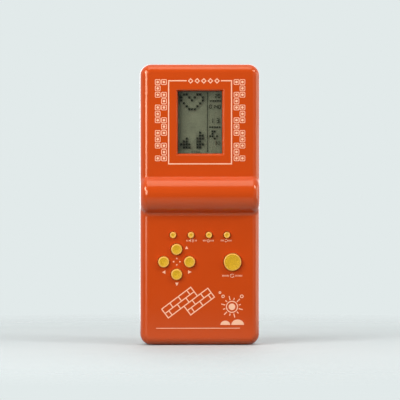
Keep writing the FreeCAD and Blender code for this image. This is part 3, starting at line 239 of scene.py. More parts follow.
def key_plastic(name, x, z, face_radius):
    """Yellow plastic, smooth on the rim and sides and spark-textured in the dished face. The rim's
    colour is lighter than the face's, a painted highlight for the light that its rounded edge
    catches all round.
    """
    recipe = Recipe(name, Specular_Tint=GLOSS_TINT)
    across, _, up = recipe.axes()
    from_x = recipe.compute("SUBTRACT", across, x * MM)
    from_z = recipe.compute("SUBTRACT", up, z * MM)
    radius = recipe.compute("SQRT", recipe.squares(from_x, from_z))
    face = recipe.remap(radius, face_radius * MM, (face_radius - 0.25) * MM)
    grains = recipe.noise(2900.0, 2.0)
    specks = recipe.remap(grains, 0.38, 0.66)
    textured = recipe.mix(specks, srgb(192, 141, 12), srgb(244, 196, 36))
    # The rim's lighter colour is a painted highlight: it stands in for the light that the rounded
    # edge catches all round.
    rim = clouded(recipe, srgb(255, 190, 88), 0.03, 60.0)
    roughness = recipe.remap(face, 0.0, 1.0, 0.24, 0.5)
    recipe.look(recipe.mix(face, rim, textured), roughness)
    recipe.bump(recipe.compute("MULTIPLY", grains, face), 0.55, 0.00012)
    return recipe.material


def see_through(name, tint, roughness, shine=1.0):
    """A clear plate. What lies behind shows straight through, under a reflection at each face."""
    recipe = Recipe(name)
    back = recipe.add("ShaderNodeNewGeometry").outputs["Backfacing"]
    refraction = 1.49
    index = recipe.remap(back, 0.0, 1.0, refraction, 1 / refraction)
    fresnel = recipe.add("ShaderNodeFresnel", {"IOR": index}).outputs[0]
    smear = recipe.remap(recipe.noise(120.0, 4.0), 0.4, 0.8, roughness, roughness + 0.06)
    clear = recipe.add("ShaderNodeBsdfTransparent", {"Color": tint}).outputs[0]
    gloss = recipe.add("ShaderNodeBsdfGlossy", {"Roughness": smear}).outputs[0]
    share = recipe.compute("MULTIPLY", fresnel, shine)
    recipe.surface(recipe.add("ShaderNodeMixShader", {0: share, 1: clear, 2: gloss}).outputs[0])
    recipe.tree.nodes.remove(recipe.shader)
    return recipe.material


def ink():
    """Pad-printed ink, thin enough for the orange to warm it."""
    recipe = Recipe("print_ink")
    thin = recipe.remap(recipe.noise(1700.0, 3.0), 0.5, 0.8, 0.0, 0.35)
    recipe.look(recipe.mix(thin, srgb(255, 200, 165), srgb(246, 150, 105)), 0.42)
    recipe.bump(recipe.noise(2400.0), 0.15, 0.00005)
    return recipe.material


def reflector():
    """The grey ground of the screen, with the ghost of its unlit picture cells."""
    recipe = Recipe("screen_ground")
    shift = [(pitch / 2 - middle) * MM for middle, pitch in zip(FIRST_CELL, CELL_PITCH)]
    shifted = recipe.add("ShaderNodeMapping", {"Vector": recipe.flat(), "Location": (*shift, 0.0)})
    gaps = recipe.bricks(shifted.outputs[0], *CELL_PITCH, 0.11, 0.2, 0.0)
    fade_start, fade_end = DIVIDER[0] - 0.5, DIVIDER[0] + 0.2
    left_side = recipe.remap(recipe.axes()[0], fade_start * MM, fade_end * MM, 1.0, 0.0)
    ghost = recipe.compute("MULTIPLY", recipe.remap(gaps, 0.0, 1.0, 0.10, 0.0), left_side)
    fibres = recipe.noise(1.0, 3.0, recipe.stretched(3000.0, 3000.0, 500.0))
    ground = recipe.mix(recipe.remap(fibres, 0.3, 0.7), srgb(184, 179, 167), srgb(194, 189, 177))
    recipe.look(recipe.mix(ghost, ground, srgb(70, 76, 56)), 0.5)
    return recipe.material


def segment_ink():
    recipe = Recipe("screen_segments")
    recipe.look(clouded(recipe, srgb(20, 23, 13), 0.1, 900.0), 0.5)
    return recipe.material


def metal(name, colour, roughness, grain=(1200.0, 1200.0, 1200.0)):
    """Plated or drawn metal with fine marks along its grain and a few dull spots."""
    recipe = Recipe(name, Metallic=1.0)
    marks = recipe.noise(1.0, 3.0, recipe.stretched(*grain))
    dull = recipe.remap(recipe.noise(260.0, 4.0), 0.5, 0.8, 0.0, 0.18)
    base = recipe.remap(marks, 0.3, 0.7, roughness, roughness + 0.14)
    recipe.look(clouded(recipe, colour, 0.08, 300.0), recipe.compute("ADD", base, dull))
    recipe.bump(marks, 0.12, 0.00005)
    return recipe.material


def matt(name, colour, roughness, spread=0.08, scale=500.0, bump=0.3, depth=0.00008):
    """A matt or satin stuff with a fine grain, such as rubber, foam, resin or wire sheath."""
    recipe = Recipe(name)
    grain = recipe.noise(scale * 4, 3.0)
    gloss = recipe.remap(grain, 0.3, 0.7, roughness - 0.06, roughness + 0.06)
    recipe.look(clouded(recipe, colour, spread, scale), gloss)
    recipe.bump(grain, bump, depth)
    return recipe.material


def ribbon():
    """Clear film with grey carbon lines that run down it."""
    recipe = Recipe("ribbon_film")
    line_pitch = 0.8
    turns = recipe.compute("MULTIPLY", recipe.axes()[0], 2 * math.pi / (line_pitch * MM))
    lines = recipe.remap(recipe.compute("SINE", turns), -0.1, 0.1)
    recipe.look(recipe.mix(lines, srgb(206, 176, 118), srgb(58, 56, 54)), 0.38)
    recipe.bump(lines, 0.2, 0.00002)
    return recipe.material


def circuit_board():
    """Green lacquer over copper tracks, with tan edges where the sheet is cut."""
    recipe = Recipe("circuit_board")
    flat = recipe.flat()
    turned = {"Vector": flat, "Rotation": (0.0, 0.0, math.pi / 4)}
    bent = recipe.add("ShaderNodeMapping", turned).outputs[0]
    straight = recipe.bricks(flat, 7.1, 1.6, 0.22, 0.1)
    slanting = recipe.bricks(bent, 4.3, 2.3, 0.22, 0.1)
    where = recipe.remap(recipe.noise(110.0, 1.0), 0.5, 0.52)
    tracks = recipe.add("ShaderNodeMix", {0: where, 2: straight, 3: slanting}).outputs[0]
    lacquer = recipe.mix(tracks, srgb(18, 74, 40), srgb(40, 112, 58))
    facing = recipe.add("ShaderNodeNewGeometry").outputs["Normal"]
    face = recipe.remap(recipe.compute("ABSOLUTE", recipe.axes(facing)[1]), 0.5, 0.6)
    roughness = recipe.remap(face, 0.0, 1.0, 0.75, 0.3)
    recipe.look(recipe.mix(face, srgb(176, 150, 96), lacquer), roughness)
    recipe.bump(tracks, 0.35, 0.00005)
    return recipe.material


def cell_sleeve():
    """The printed sleeve of a plain battery, with a pale band towards its button end."""
    recipe = Recipe("cell_sleeve")
    band_start, line_middle, line_reach = 12.8, 11.2, 0.4
    across, _, up = recipe.axes()
    side = recipe.compute("SIGN", recipe.compute("SUBTRACT", up, CELL_MIDDLE_Z * MM))
    towards_button = recipe.compute("MULTIPLY", across, side)
    band = recipe.remap(towards_button, band_start * MM, (band_start + 0.2) * MM)
    line = recipe.compute("COMPARE", towards_button, line_middle * MM, line_reach * MM)
    pale = recipe.compute("MAXIMUM", band, line)
    dark = clouded(recipe, srgb(34, 58, 104), 0.06, 200.0)
    gloss = recipe.remap(recipe.noise(500.0), 0.3, 0.7, 0.2, 0.34)
    recipe.look(recipe.mix(pale, dark, srgb(206, 206, 198)), gloss)
    recipe.bump(recipe.noise(900.0), 0.08, 0.00005)
    return recipe.material


def banded_resistors():
    """Beige lacquer with colour bands, which run across each resistor's length, and wire ends."""
    recipe = Recipe("resistor_coat")
    across = recipe.axes()[0]
    coat = clouded(recipe, srgb(206, 176, 128), 0.05, 900.0)
    for place, colour in RESISTOR_BANDS.items():
        stripe = recipe.compute("COMPARE", across, place * MM, BAND_REACH * MM)
        coat = recipe.mix(stripe, coat, srgb(*colour))
    offset = recipe.compute("SUBTRACT", across, RESISTOR_MIDDLE * MM)
    ends = recipe.compute("GREATER_THAN", recipe.compute("ABSOLUTE", offset), COAT_REACH * MM)
    recipe.look(recipe.mix(ends, coat, srgb(188, 188, 184)), 0.34)
    recipe.feed("Metallic", ends)
    recipe.bump(recipe.noise(2000.0), 0.1, 0.00005)
    return recipe.material


# Flat shapes as lists of (x, z) points. A ring is a pair of them, the outer first
def box(x0, z0, x1, z1):
    return [(x0, z0), (x1, z0), (x1, z1), (x0, z1)]


def centred_box(x, z, half_width, half_height):
    """A box about x, z."""
    return box(x - half_width, z - half_height, x + half_width, z + half_height)


def on_circle(x, z, radius, heading):
    """The point of a circle about x, z at heading, in degrees anticlockwise from +X."""
    angle = math.radians(heading)
    return x + radius * math.cos(angle), z + radius * math.sin(angle)


def arc(x, z, radius, start, end, steps=24):
    """Points along an arc between two headings."""
    headings = [start + (end - start) * n / steps for n in range(steps + 1)]
    return [on_circle(x, z, radius, heading) for heading in headings]


def rounded_box(x, z, width, height, radius, steps=4):
    """A box about x, z with rounded corners. Two with the same steps pair up as a ring."""
    points = []
    for corner, (sx, sz) in enumerate(((1, 1), (-1, 1), (-1, -1), (1, -1))):
        cx = x + sx * (width / 2 - radius)
        cz = z + sz * (height / 2 - radius)
        points += arc(cx, cz, radius, 90 * corner, 90 * (corner + 1), steps)
    return points


def disc(x, z, radius, steps=24):
    return arc(x, z, radius, 0, 360, steps)[:-1]


def ring(x, z, radius, width, steps=28):
    return disc(x, z, radius + width / 2, steps), disc(x, z, radius - width / 2, steps)


def triangle(x, z, size, heading):
    """A filled arrow head with its tip towards heading, in degrees."""
    reach = size * 0.62
    return [on_circle(x, z, reach, heading + turn) for turn in (0, 125, -125)]


def stroke(points, width):
    """The outline of a line of even width with mitred corners and square ends."""
    sides = []
    for n, here in enumerate(points):
        before = Vector(here) - Vector(points[n - 1]) if n else Vector(points[1]) - Vector(here)
        after = Vector(points[n + 1]) - Vector(here) if n + 1 < len(points) else before
        before.normalize()
        after = after.normalized()
        middle = (before + after).normalized()
        reach = width / 2 / max(0.4, middle.dot(before))
        sides.append((Vector(here), Vector((-middle.y, middle.x)) * reach))
    left = [tuple(p + s) for p, s in sides]
    right = [tuple(p - s) for p, s in reversed(sides)]
    return left + right


def moved(shape, x, z, angle=0.0):
    """A shape or ring turned by angle degrees about 0, 0 and then moved to x, z."""
    if isinstance(shape, tuple):
        return tuple(moved(part, x, z, angle) for part in shape)
    cos, sin = math.cos(math.radians(angle)), math.sin(math.radians(angle))
    return [(x + px * cos - pz * sin, z + px * sin + pz * cos) for px, pz in shape]


def area_of(points):
    pairs = zip(points, points[1:] + points[:1])
    return sum(x0 * z1 - x1 * z0 for (x0, z0), (x1, z1) in pairs) / 2


def anticlockwise(points):
    return points if area_of(points) > 0 else points[::-1]


# Meshes and objects
def add_object(name, data):
    thing = bpy.data.objects.new(name, data)
    bpy.context.scene.collection.objects.link(thing)
    return thing


def mesh_data(name, mesh):
    """The mesh that was built, with all its faces turned outward."""
    bmesh.ops.recalc_face_normals(mesh, faces=mesh.faces)
    data = bpy.data.meshes.new(name)
    mesh.to_mesh(data)
    mesh.free()
    return data


def flat_piece(name, shapes, front, back, material, body="case"):
    """Flat shapes and rings raised between two planes, as one closed mesh. front and back are
    a Y each, or functions of x and z."""
    mesh = bmesh.new()

    def vertices(points, plane):
        depths = [plane(x, z) if callable(plane) else plane for x, z in points]
        return [mesh.verts.new((x * MM, y * MM, z * MM)) for (x, z), y in zip(points, depths)]

    def wall(near, far, outward):
        for n, here in enumerate(near):
            following = (n + 1) % len(near)
            corners = [here, near[following], far[following], far[n]]
            mesh.faces.new(corners if outward else corners[::-1])

    for shape in shapes:
        outer = anticlockwise(shape[0] if isinstance(shape, tuple) else shape)
        near, far = vertices(outer, front), vertices(outer, back)
        wall(near[::-1], far[::-1], True)
        if isinstance(shape, tuple):
            inner = anticlockwise(shape[1])
            near_hole, far_hole = vertices(inner, front), vertices(inner, back)
            wall(near_hole, far_hole, True)
            wall(near, near_hole, True)
            wall(far, far_hole, False)
        else:
            mesh.faces.new(near)
            mesh.faces.new(far[::-1])
    piece = add_object(name, mesh_data(name, mesh))
    piece.data.materials.append(material)
    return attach(piece, body)


# Printing on the case
def ornament(x, z):
    """One printed tile: a rounded frame with a dot in it."""
    size, hole, dot = 3.45, 2.65, 0.8
    border = (rounded_box(x, z, size, size, 0.6), rounded_box(x, z, hole, hole, 0.3))
    return [border, disc(x, z, dot, 16)]


def ornament_columns():
    """A zigzag of tiles down each side of the window."""
    outer, inner = (-26.67, 26.67), (-22.73, 22.93)
    every = (outer[0], *inner, outer[1])
    zigzag = (every, outer, every, inner)
    top, pitch, rows = 165.87, 4.0, 13
    tiles = [ornament(x, top - pitch * row) for row in range(rows) for x in zigzag[row % 4]]
    return [shape for tile in tiles for shape in tile]


def window_frame():
    """The line round the window, open at its top for the diamonds."""
    side, top, foot = 19.8, 166.7, 114.4
    line = [(13.1, top), (side, top), (side, foot), (-side, foot), (-side, top), (-8.4, top)]
    return [stroke(line, FRAME_LINE)]


def diamonds():
    """A row of small diamonds in the gap of the frame's top line."""
    middle, pitch, count = 2.35, 4.15, 5
    z, outer, inner = 166.6, 1.75, 0.95
    places = [middle + pitch * (n - count // 2) for n in range(count)]
    return [(disc(x, z, outer, 4), disc(x, z, inner, 4)) for x in places]


def arrows():
    """A head beside each direction key and a small one for each way between them."""
    heads = [
        triangle(-22.6, 46.1, 2.2, 180),
        triangle(-6.7, 46.2, 2.2, 0),
        triangle(-14.6, 38.7, 2.2, 270),
        triangle(-8.4, 61.4, 1.9, 90),
    ]
    for heading in (0, 90, 180, 270):
        heads.append(triangle(*on_circle(-14.6, 52.7, 2.0, heading), 1.15, heading))
    return heads


def arrow_arc(x, z, radius, start, end, width, head):
    """Part of a circle with an arrow head at its end."""
    heading = end + (90 if end > start else -90)
    arrow_head = triangle(*on_circle(x, z, radius, end), head, heading)
    return [stroke(arc(x, z, radius, start, end), width), arrow_head]


def beside(x, z, near, far):
    """A row of upright ticks on each side of a label's mark."""
    pitch, gap = 0.78, 0.2
    offsets = [near + gap + pitch * n for n in range(round((far - near) / pitch))]
    return [centred_box(x + side * offset, z, 0.16, 0.5) for side in (-1, 1) for offset in offsets]


def sound_mark(x, z):
    """A loudspeaker and two waves."""
    horn = [(-1.7, -0.35), (-1.2, -0.35), (-0.5, -0.85), (-0.5, 0.85), (-1.2, 0.35), (-1.7, 0.35)]
    waves = [stroke(arc(-0.5, 0.0, radius, -42, 42, 10), MARK_LINE) for radius in (0.95, 1.6)]
    return [moved(shape, x, z) for shape in [horn, *waves]] + beside(x, z, 2.1, 3.7)


def power_mark(x, z):
    """An open ring with a bar through the gap."""
    gap_ring = stroke(arc(x, z - 0.1, 0.8, 125, 415), MARK_LINE)
    bar = box(x - MARK_LINE / 2, z - 0.1, x + MARK_LINE / 2, z + 0.95)
    return [gap_ring, bar] + beside(x, z, 1.4, 3.7)


def reset_mark(x, z):
    """An arrow that goes back round."""
    return arrow_arc(x, z, 0.8, 150, -130, MARK_LINE, 0.9) + beside(x, z, 1.4, 3.7)


def turn_mark(x, z):
    """Two arrows that chase each other round."""
    chase = [arrow_arc(x, z, 1.05, start, start + 130, 0.3, 1.0) for start in (20, 200)]
    return chase[0] + chase[1] + beside(x, z, 2.0, 6.4)


def brick_drawing():
    """A leaning wall of four courses in single lines, the lower two stepped to the right."""
    length, height, shortest = 6.7, 3.5, 1.5
    half = BRICK_LINE / 2
    steps = (0.0, 0.0, 12.4, 12.4)
    spans = (23.6, 23.6, 19.4, 19.4)
    shapes = []
    for level in range(len(steps) + 1):
        above, below = max(0, level - 1), min(len(steps) - 1, level)
        near = steps[above]
        far = max(steps[n] + spans[n] for n in (above, below))
        shapes.append(box(near, -height * level - half, far, -height * level + half))
    for course, (start, span) in enumerate(zip(steps, spans)):
        top = -height * course - half
        places = [start + half, start + span - half]
        joint = start + length * (0.5 if course % 2 else 1.0)
        while joint < start + span - shortest:
            places.append(joint)
            joint += length
        foot = top - height + BRICK_LINE
        shapes += [box(x - half, foot, x + half, top) for x in places]
    corner, lean = (-24.4, 22.6), 37.0
    return [moved(shape, *corner, lean) for shape in shapes]


def sun_drawing(x=20.2, z=24.2):
    """A plain sun with rays over two filled hills, and a few rings in the sky."""
    shapes = [ring(x, z, 3.5, SUN_LINE), disc(x, z, 2.1)]
    for ray in range(12):
        start, end = 4.4, 7.0 if ray % 2 else 5.8
        ends = [on_circle(x, z, radius, 30 * ray + 15) for radius in (start, end)]
        shapes.append(stroke(ends, SUN_LINE))
    for dx, dz, radius in ((-5.6, 6.6, 0.8), (-7.6, 9.0, 0.6), (6.2, 6.6, 0.9)):
        shapes.append(ring(x + dx, z + dz, radius, 0.5, 16))
    ground, flatness = z - 11.4, 0.85
    for dx, radius in ((-4.2, 3.1), (3.6, 4.0)):
        hill = arc(x + dx, 0.0, radius, 0, 180)
        shapes.append([(px, ground + flatness * pz) for px, pz in hill])
    return shapes


def print_case():
    colour = ink()
    upper = window_frame() + diamonds() + ornament_columns()
    labels = arrows() + sound_mark(-5.3, 66.0) + power_mark(5.3, 66.0)
    labels += reset_mark(16.5, 66.0) + turn_mark(20.3, 43.8)
    foot_line = box(-27.6, 10.5, 25.2, 10.9)
    foot = [foot_line] + brick_drawing() + sun_drawing()
    for name, shapes, face in (
        ("print_round_screen", upper, SCREEN_FACE),
        ("print_key_labels", labels, KEY_FACE),
        ("print_foot", foot, KEY_FACE),
    ):
        flat_piece(name, shapes, face - INK_PROUD, face + INK_SUNK, colour)


# The picture on the screen
def picture_cell(x, z, width, height):
    """A lit cell: a thin frame round a filled box."""
    line = 0.16
    inside = rounded_box(x, z, width - 2 * line, height - 2 * line, 0.05, 1)
    middle = rounded_box(x, z, width * 0.7, height * 0.7, 0.05, 1)
    return [(rounded_box(x, z, width, height, 0.12, 1), inside), middle]


def cell_rows(rows, first, pitch):
    """The cells that stand as 1 in rows of 0s and 1s, which have a number each from first down."""
    size = [length * CELL_FILL for length in pitch]
    shapes = []
    for number, row in rows:
        for column, lit in enumerate(row):
            if lit == "1":
                place = first[0] + pitch[0] * column, first[1] - pitch[1] * number
                shapes += picture_cell(*place, *size)
    return shapes


def digit(character, x, z, height):
    """A seven-segment figure with its lower left corner at x, z."""
    wide, half, line = height * 0.55, height / 2, height * 0.2
    ends = {
        "a": ((0, height), (wide, height)),
        "b": ((wide, height), (wide, half)),
        "c": ((wide, half), (wide, 0)),
        "d": ((0, 0), (wide, 0)),
        "e": ((0, 0), (0, half)),
        "f": ((0, half), (0, height)),
        "g": ((0, half), (wide, half)),
    }
    shapes = []
    for segment in DIGIT_SEGMENTS[character]:
        start, end = Vector(ends[segment][0]), Vector(ends[segment][1])
        trim = (end - start).normalized() * line * 0.2
        shapes.append(moved(stroke([tuple(start + trim), tuple(end - trim)], line), x, z))
    return shapes


def digits(text, x, z, height, pitch=1.9):
    shapes = []
    for n, character in enumerate(text):
        shapes += digit(character, x + n * pitch, z, height)
    return shapes


def bars(count, x, z, width=1.2, height=0.9):
    """Plain bars in a row, where such a screen has a word."""
    pitch = 1.5
    return [box(x + pitch * n, z, x + pitch * n + width, z + height) for n in range(count)]


def screen_picture():
    """A heart, two stepped towers, a divider and a side column of plain figures."""
    shapes = cell_rows([*enumerate(HEART), *TOWERS.items()], FIRST_CELL, CELL_PITCH)
    shapes.append(box(DIVIDER[0], 121.6, DIVIDER[1], 159.4))
    shapes += bars(4, -5.4, 121.5, 0.9, 0.5)
    shapes += digits("20", 9.6, 155.9, 2.2)
    shapes += bars(5, 6.3, 153.5)
    shapes += digits("0140", 6.1, 149.2, 2.2)
    shapes += digits("1", 6.7, 140.2, 2.6) + digits("3", 10.6, 140.2, 2.6)
    shapes += bars(5, 5.9, 137.0)
    shapes += cell_rows(enumerate(PREVIEW), (6.5, 134.7), (1.45, 1.5))
    shapes += [ring(11.9, 127.4, 0.9, 0.3, 16), box(10.0, 126.1, 10.5, 128.6)]
    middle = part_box("lcd_rear_glass")[0].y / MM
    half_depth = 0.02
    flat_piece("screen_segments", shapes, middle - half_depth, middle + half_depth, segment_ink())


def screen_ground():
    """The reflector, a hair behind the glass that it is glued to."""
    low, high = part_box("lcd_reflector")
    shape = box(low.x / MM, low.z / MM, high.x / MM, high.z / MM)
    hair = 0.02
    ground = flat_piece("screen_reflector", [shape], low.y / MM + hair, high.y / MM, reflector())
    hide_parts("lcd_reflector")


# Small things
def sleeve_surface(side, proud):
    """The back of a cell's sleeve as a function of x and z, moved out by proud. side is 1 for the
    upper cell and -1 for the lower one."""

    def depth(x, z):
        off = z - CELL_MIDDLE_Z - side * CELL_RISE
        return CELL_MIDDLE_Y + math.sqrt(SLEEVE_RADIUS**2 - off**2) + proud

    return depth


def cell_marks():
    """A plus and a minus on each cell's sleeve. The bars are cut short, to follow its curve."""
    paint = matt("cell_marks", srgb(236, 236, 230), 0.3)
    reach, half_line = 1.9, 0.35
    for name, side in (("upper", 1), ("lower", -1)):
        z = CELL_MIDDLE_Z + side * CELL_RISE
        plus, minus = 9.0 * side, -20.0 * side
        places = [plus + reach * (n / 2 - 0.75) for n in range(4)]
        marks = [centred_box(x, z, reach / 4, half_line) for x in places]
        for way in (1, -1):
            rises = [way * rise for rise in (0.6, 1.1, 1.6)]
            marks += [centred_box(plus, z + rise, half_line, 0.25) for rise in rises]
        marks.append(centred_box(minus, z, reach, half_line))
        front, back = sleeve_surface(side, -INK_SUNK), sleeve_surface(side, INK_PROUD)
        flat_piece(f"cell_marks_{name}", marks, front, back, paint)


def cross_recess(x, z, seat, towards):
    """A tapered cross that is cut into a screw's head. towards is the way that the head faces."""
    taper, half_width = 0.45, 0.175
    ends = ((1.0, seat + towards * 0.2), (taper, seat - towards * CROSS_DEPTH))
    mesh = bmesh.new()
    for turn in (0, 90):
        corners = []
        for share, y in ends:
            bar = centred_box(0.0, 0.0, CROSS_REACH * share, half_width)
            for px, pz in moved(bar, x, z, turn):
                corners.append(mesh.verts.new((px * MM, y * MM, pz * MM)))
        near, far = corners[:4], corners[4:]
        mesh.faces.new(near)
        mesh.faces.new(far[::-1])
        for n in range(4):
            mesh.faces.new([near[n], far[n], far[(n + 1) % 4], near[(n + 1) % 4]])
    return mesh_data("cross", mesh)


def cut_crosses(node, places, towards):
    """Cuts a cross recess into each head of a node of screws."""
    low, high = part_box(node)
    seat = (high.y if towards > 0 else low.y) / MM
    for n, (x, z) in enumerate(places):
        cutter = add_object(f"{node}_cross_{n}", cross_recess(x, z, seat, towards))
        cutter.hide_render = True
        cutter.hide_viewport = True
        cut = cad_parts[node].modifiers.new(f"cross_{n}", "BOOLEAN")
        cut.operation = "DIFFERENCE"
        cut.solver = "EXACT"
        cut.use_self = True
        cut.object = cutter


def cover_arrow(material):
    """A raised arrow on the battery cover that points to its latch."""
    shaft, head = 0.9, 2.6
    foot, neck, tip = 80.6, 85.0, 89.0
    right = [(shaft, foot), (shaft, neck), (head, neck)]
    left = [(-x, z) for x, z in reversed(right)]
    outline = [*right, (0.0, tip), *left]
    front, back = BACK_FACE - 0.05, BACK_FACE + 0.2
    flat_piece("battery_cover_arrow", [outline], front, back, material, "battery_door")


# Materials of the CAD nodes
def wear(material, *names):
    for name in names:
        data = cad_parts[name].data
        data.materials.clear()
        data.materials.append(material)


def dress_case(orange):
    wear(orange, "front_shell", "rear_shell", "battery_cover", "battery_cover_latch")
    wear(metal("zinc", srgb(196, 196, 190), 0.26), "lcd_screws", "board_screws", "case_screws")
    rubber = matt("pill_rubber", srgb(28, 28, 30), 0.7)
    for name, (x, z, radius) in KEYS.items():
        wear(key_plastic(f"{name}_plastic", x, z, radius), name)
        wear(rubber, name.replace("button", "pill"))


def dress_screen():
    glass = see_through("glass_sheet", (0.985, 0.99, 0.985, 1.0), 0.02, 0.35)
    wear(glass, "lcd_front_glass", "lcd_rear_glass")
    wear(see_through("lens_plastic", (0.97, 0.98, 0.96, 1.0), 0.02), "screen_lens")
    film = see_through("polariser_sheet", (0.86, 0.87, 0.83, 1.0), 0.1, 0.35)
    wear(film, "lcd_front_polariser")
    wear(matt("foam", srgb(26, 26, 27), 0.85, 0.2, 900.0, 0.6, 0.0002), "screen_gasket")
    wear(moulded_plastic("white_plastic", srgb(222, 220, 210), 0.35), "lcd_holder")
    wear(ribbon(), "lcd_ribbon")


def dress_board():
    wear(matt("silicone", srgb(150, 150, 146), 0.55, 0.04, 120.0, 0.15), "keypad_mat")
    wear(circuit_board(), "main_board")
    wear(matt("resin", srgb(20, 20, 21), 0.24, 0.1, 150.0, 0.15, 0.0002), "chip_blob")
    wear(matt("capacitor_sleeve", srgb(32, 46, 92), 0.32), "electrolytic_capacitor")
    wear(matt("ceramic_dip", srgb(196, 122, 48), 0.5), "ceramic_capacitors")
    wear(banded_resistors(), "resistors")
    wear(metal("brass", srgb(206, 166, 84), 0.28, (1500.0, 1500.0, 120.0)), "buzzer_disc")
    wear(metal("silvered_ceramic", srgb(198, 196, 186), 0.5), "buzzer_ceramic")


def dress_power():
    steel = metal("cell_steel", srgb(198, 196, 190), 0.24, (60.0, 2500.0, 2500.0))
    wear(steel, "battery_upper", "battery_lower")
    wear(cell_sleeve(), "battery_labels")
    wire = metal("nickel_wire", srgb(204, 200, 190), 0.2)
    wear(wire, "battery_spring_upper", "battery_spring_lower")
    plate = metal("nickel_plate", srgb(206, 202, 192), 0.24, (2000.0, 90.0, 2000.0))
    wear(plate, "contact_link_plate", "contact_positive_plate", "contact_negative_plate")
    wear(matt("red_wire", srgb(176, 26, 20), 0.4), "wire_red")
    wear(matt("black_wire", srgb(24, 24, 25), 0.4), "wire_black")
    wear(matt("grey_wire", srgb(120, 122, 124), 0.4), "buzzer_wires")


# The studio. Azimuth 0 is in front of the object and positive is to its right
def direction(azimuth, elevation):
    """The way from the object to a place round it, with both angles in degrees."""
    a, e = math.radians(azimuth), math.radians(elevation)
    return Vector((math.sin(a) * math.cos(e), -math.cos(a) * math.cos(e), math.sin(e)))


def softbox(name, azimuth, elevation, distance, width, height, glow):
    """A soft rectangular lamp that faces the object. glow is how bright it looks, where white
    paper is 1."""
    lamp = bpy.data.lights.new(name, "AREA")
    lamp.shape = "RECTANGLE"
    lamp.size = width
    lamp.size_y = height
    lamp.energy = glow * math.pi * width * height
    holder = add_object(name, lamp)
    outward = direction(azimuth, elevation)
    holder.location = OBJECT_MIDDLE + outward * distance
    holder.rotation_euler = outward.to_track_quat("Z", "Y").to_euler()
    holder.visible_camera = False


def pale_rays(add):
    """1 for the rays that see the pale background: the camera's, and those of gloss and glass."""
    path = add("ShaderNodeLightPath").outputs
    rays = {0: path["Is Camera Ray"], 1: path["Is Glossy Ray"]}
    glossy = add("ShaderNodeMath", rays, operation="MAXIMUM").outputs[0]
    both = {0: glossy, 1: path["Is Transmission Ray"]}
    return add("ShaderNodeMath", both, operation="MAXIMUM").outputs[0]


def pale_world(backdrop, overhead, below, dim=0.1):
    """A pale backdrop for sight, gloss and glass, which gloss sees dim on the room's front side,
    and an even soft light for the rest that is weaker from below."""
    world = bpy.data.worlds.new("studio")
    bpy.context.scene.world = world
    world.use_nodes = True
    world.node_tree.nodes.clear()
    add = functools.partial(add_node, world.node_tree)

    def slope(value, low, high):
        values = {"Value": value, "From Min": low, "From Max": high}
        return add("ShaderNodeMapRange", values).outputs[0]

    def background(share, first, second):
        colour = add("ShaderNodeMix", {0: share, 6: first, 7: second}, data_type="RGBA")
        return add("ShaderNodeBackground", {0: colour.outputs[2]}).outputs[0]

    looking = add("ShaderNodeTexCoord").outputs["Generated"]
    split = add("ShaderNodeSeparateXYZ", {0: looking}).outputs
    sight = add("ShaderNodeLightPath").outputs["Is Camera Ray"]
    ways = {0: slope(split[1], -0.6, 0.3), 1: sight}
    bright = add("ShaderNodeMath", ways, operation="MAXIMUM").outputs[0]
    shown = background(bright, scaled(backdrop, dim), backdrop)
    greys = [(level, level, level, 1.0) for level in (below, overhead)]
    light = background(slope(split[2], -0.3, 0.5), *greys)
    mixed = add("ShaderNodeMixShader", {0: pale_rays(add), 1: light, 2: shown})
    add("ShaderNodeOutputWorld", {0: mixed.outputs[0]})


def pale_floor(colour):
    """A plain matt floor that keeps the shadow and fades into the backdrop away from the object.
    Rays that only carry light see it dark, so that it throws little back."""
    recipe = Recipe("floor", Specular_IOR_Level=0.2)
    across, depth, _ = recipe.axes()
    distance = recipe.compute("SQRT", recipe.squares(across, depth))
    recipe.look(recipe.mix(pale_rays(recipe.add), scaled(colour, 0.15), colour), 0.7)
    clear = recipe.add("ShaderNodeBsdfTransparent").outputs[0]
    ways = {0: recipe.remap(distance, 0.1, 0.4), 1: recipe.shader.outputs[0], 2: clear}
    recipe.surface(recipe.add("ShaderNodeMixShader", ways).outputs[0])
    half = 1.2
    corners = [(x, y, 0) for x, y in box(-half, -half, half, half)]
    data = bpy.data.meshes.new("floor")
    data.from_pydata(corners, [], [(0, 1, 2, 3)])
    data.materials.append(recipe.material)
    floor = add_object("floor", data)
    floor.location.z = -0.0001


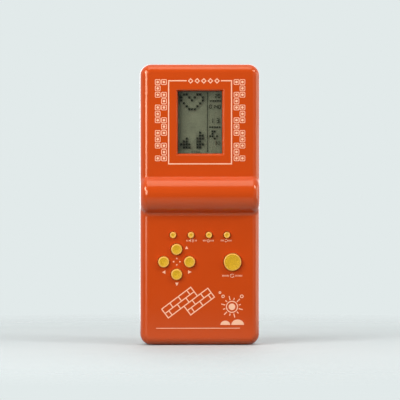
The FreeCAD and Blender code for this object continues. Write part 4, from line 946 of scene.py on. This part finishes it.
def camera(azimuth, elevation, distance, frame_width, centre):
    """A long lens on centre. frame_width is how much of the object's plane the picture holds."""
    lens = bpy.data.cameras.new("camera")
    lens.sensor_width = 36.0
    lens.lens = lens.sensor_width * distance / frame_width
    lens.clip_end = 50.0
    eye = add_object("camera", lens)
    outward = direction(azimuth, elevation)
    eye.location = Vector(centre) + outward * distance
    eye.rotation_euler = (-outward).to_track_quat("-Z", "Y").to_euler()
    bpy.context.scene.camera = eye


def studio():
    pale_world(srgb(226, 234, 234), 0.24, 0.04)
    pale_floor(srgb(204, 211, 211))
    # Azimuth, elevation, distance, width, height and glow of each lamp
    softbox("key_light", -33.0, 11.0, 0.95, 0.4, 0.37, 7.8)
    softbox("key_light_low", -33.0, -3.0, 0.95, 0.4, 0.1, 2.4)
    softbox("top_light", 0.0, 76.0, 0.85, 0.75, 1.0, 0.55)
    softbox("front_top_light", 0.0, 66.0, 0.85, 0.75, 0.5, 1.45)
    softbox("shadow_light", -52.0, 28.0, 0.85, 0.26, 0.26, 13.0)
    softbox("spark_light", 55.0, 35.0, 1.0, 0.13, 0.24, 25.0)
    softbox("fill_light", 40.0, 0.0, 1.2, 0.7, 0.8, 0.4)
    softbox("side_light", 88.0, 4.0, 1.0, 0.8, 0.8, 1.8)
    softbox("back_light", 165.0, 14.0, 1.2, 1.6, 1.2, 1.25)
    camera(-1.75, 1.5, 3.0, 0.2519, (0.0, -0.008, 0.0916))


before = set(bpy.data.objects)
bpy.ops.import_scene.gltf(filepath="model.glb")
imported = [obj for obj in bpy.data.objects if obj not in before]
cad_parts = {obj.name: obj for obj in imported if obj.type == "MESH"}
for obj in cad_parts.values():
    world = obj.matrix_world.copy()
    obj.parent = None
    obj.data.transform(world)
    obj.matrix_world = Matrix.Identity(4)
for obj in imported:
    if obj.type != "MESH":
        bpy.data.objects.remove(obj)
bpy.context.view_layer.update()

scene = bpy.context.scene
scene.view_settings.view_transform = "Standard"
scene.cycles.transparent_max_bounces = 32

orange_plastic = moulded_plastic("orange_plastic", srgb(206, 73, 15), 0.125)
dress_case(orange_plastic)
dress_screen()
dress_board()
dress_power()
print_case()
screen_ground()
screen_picture()
cell_marks()
cover_arrow(orange_plastic)
cut_crosses("case_screws", CASE_SCREWS, 1)
studio()
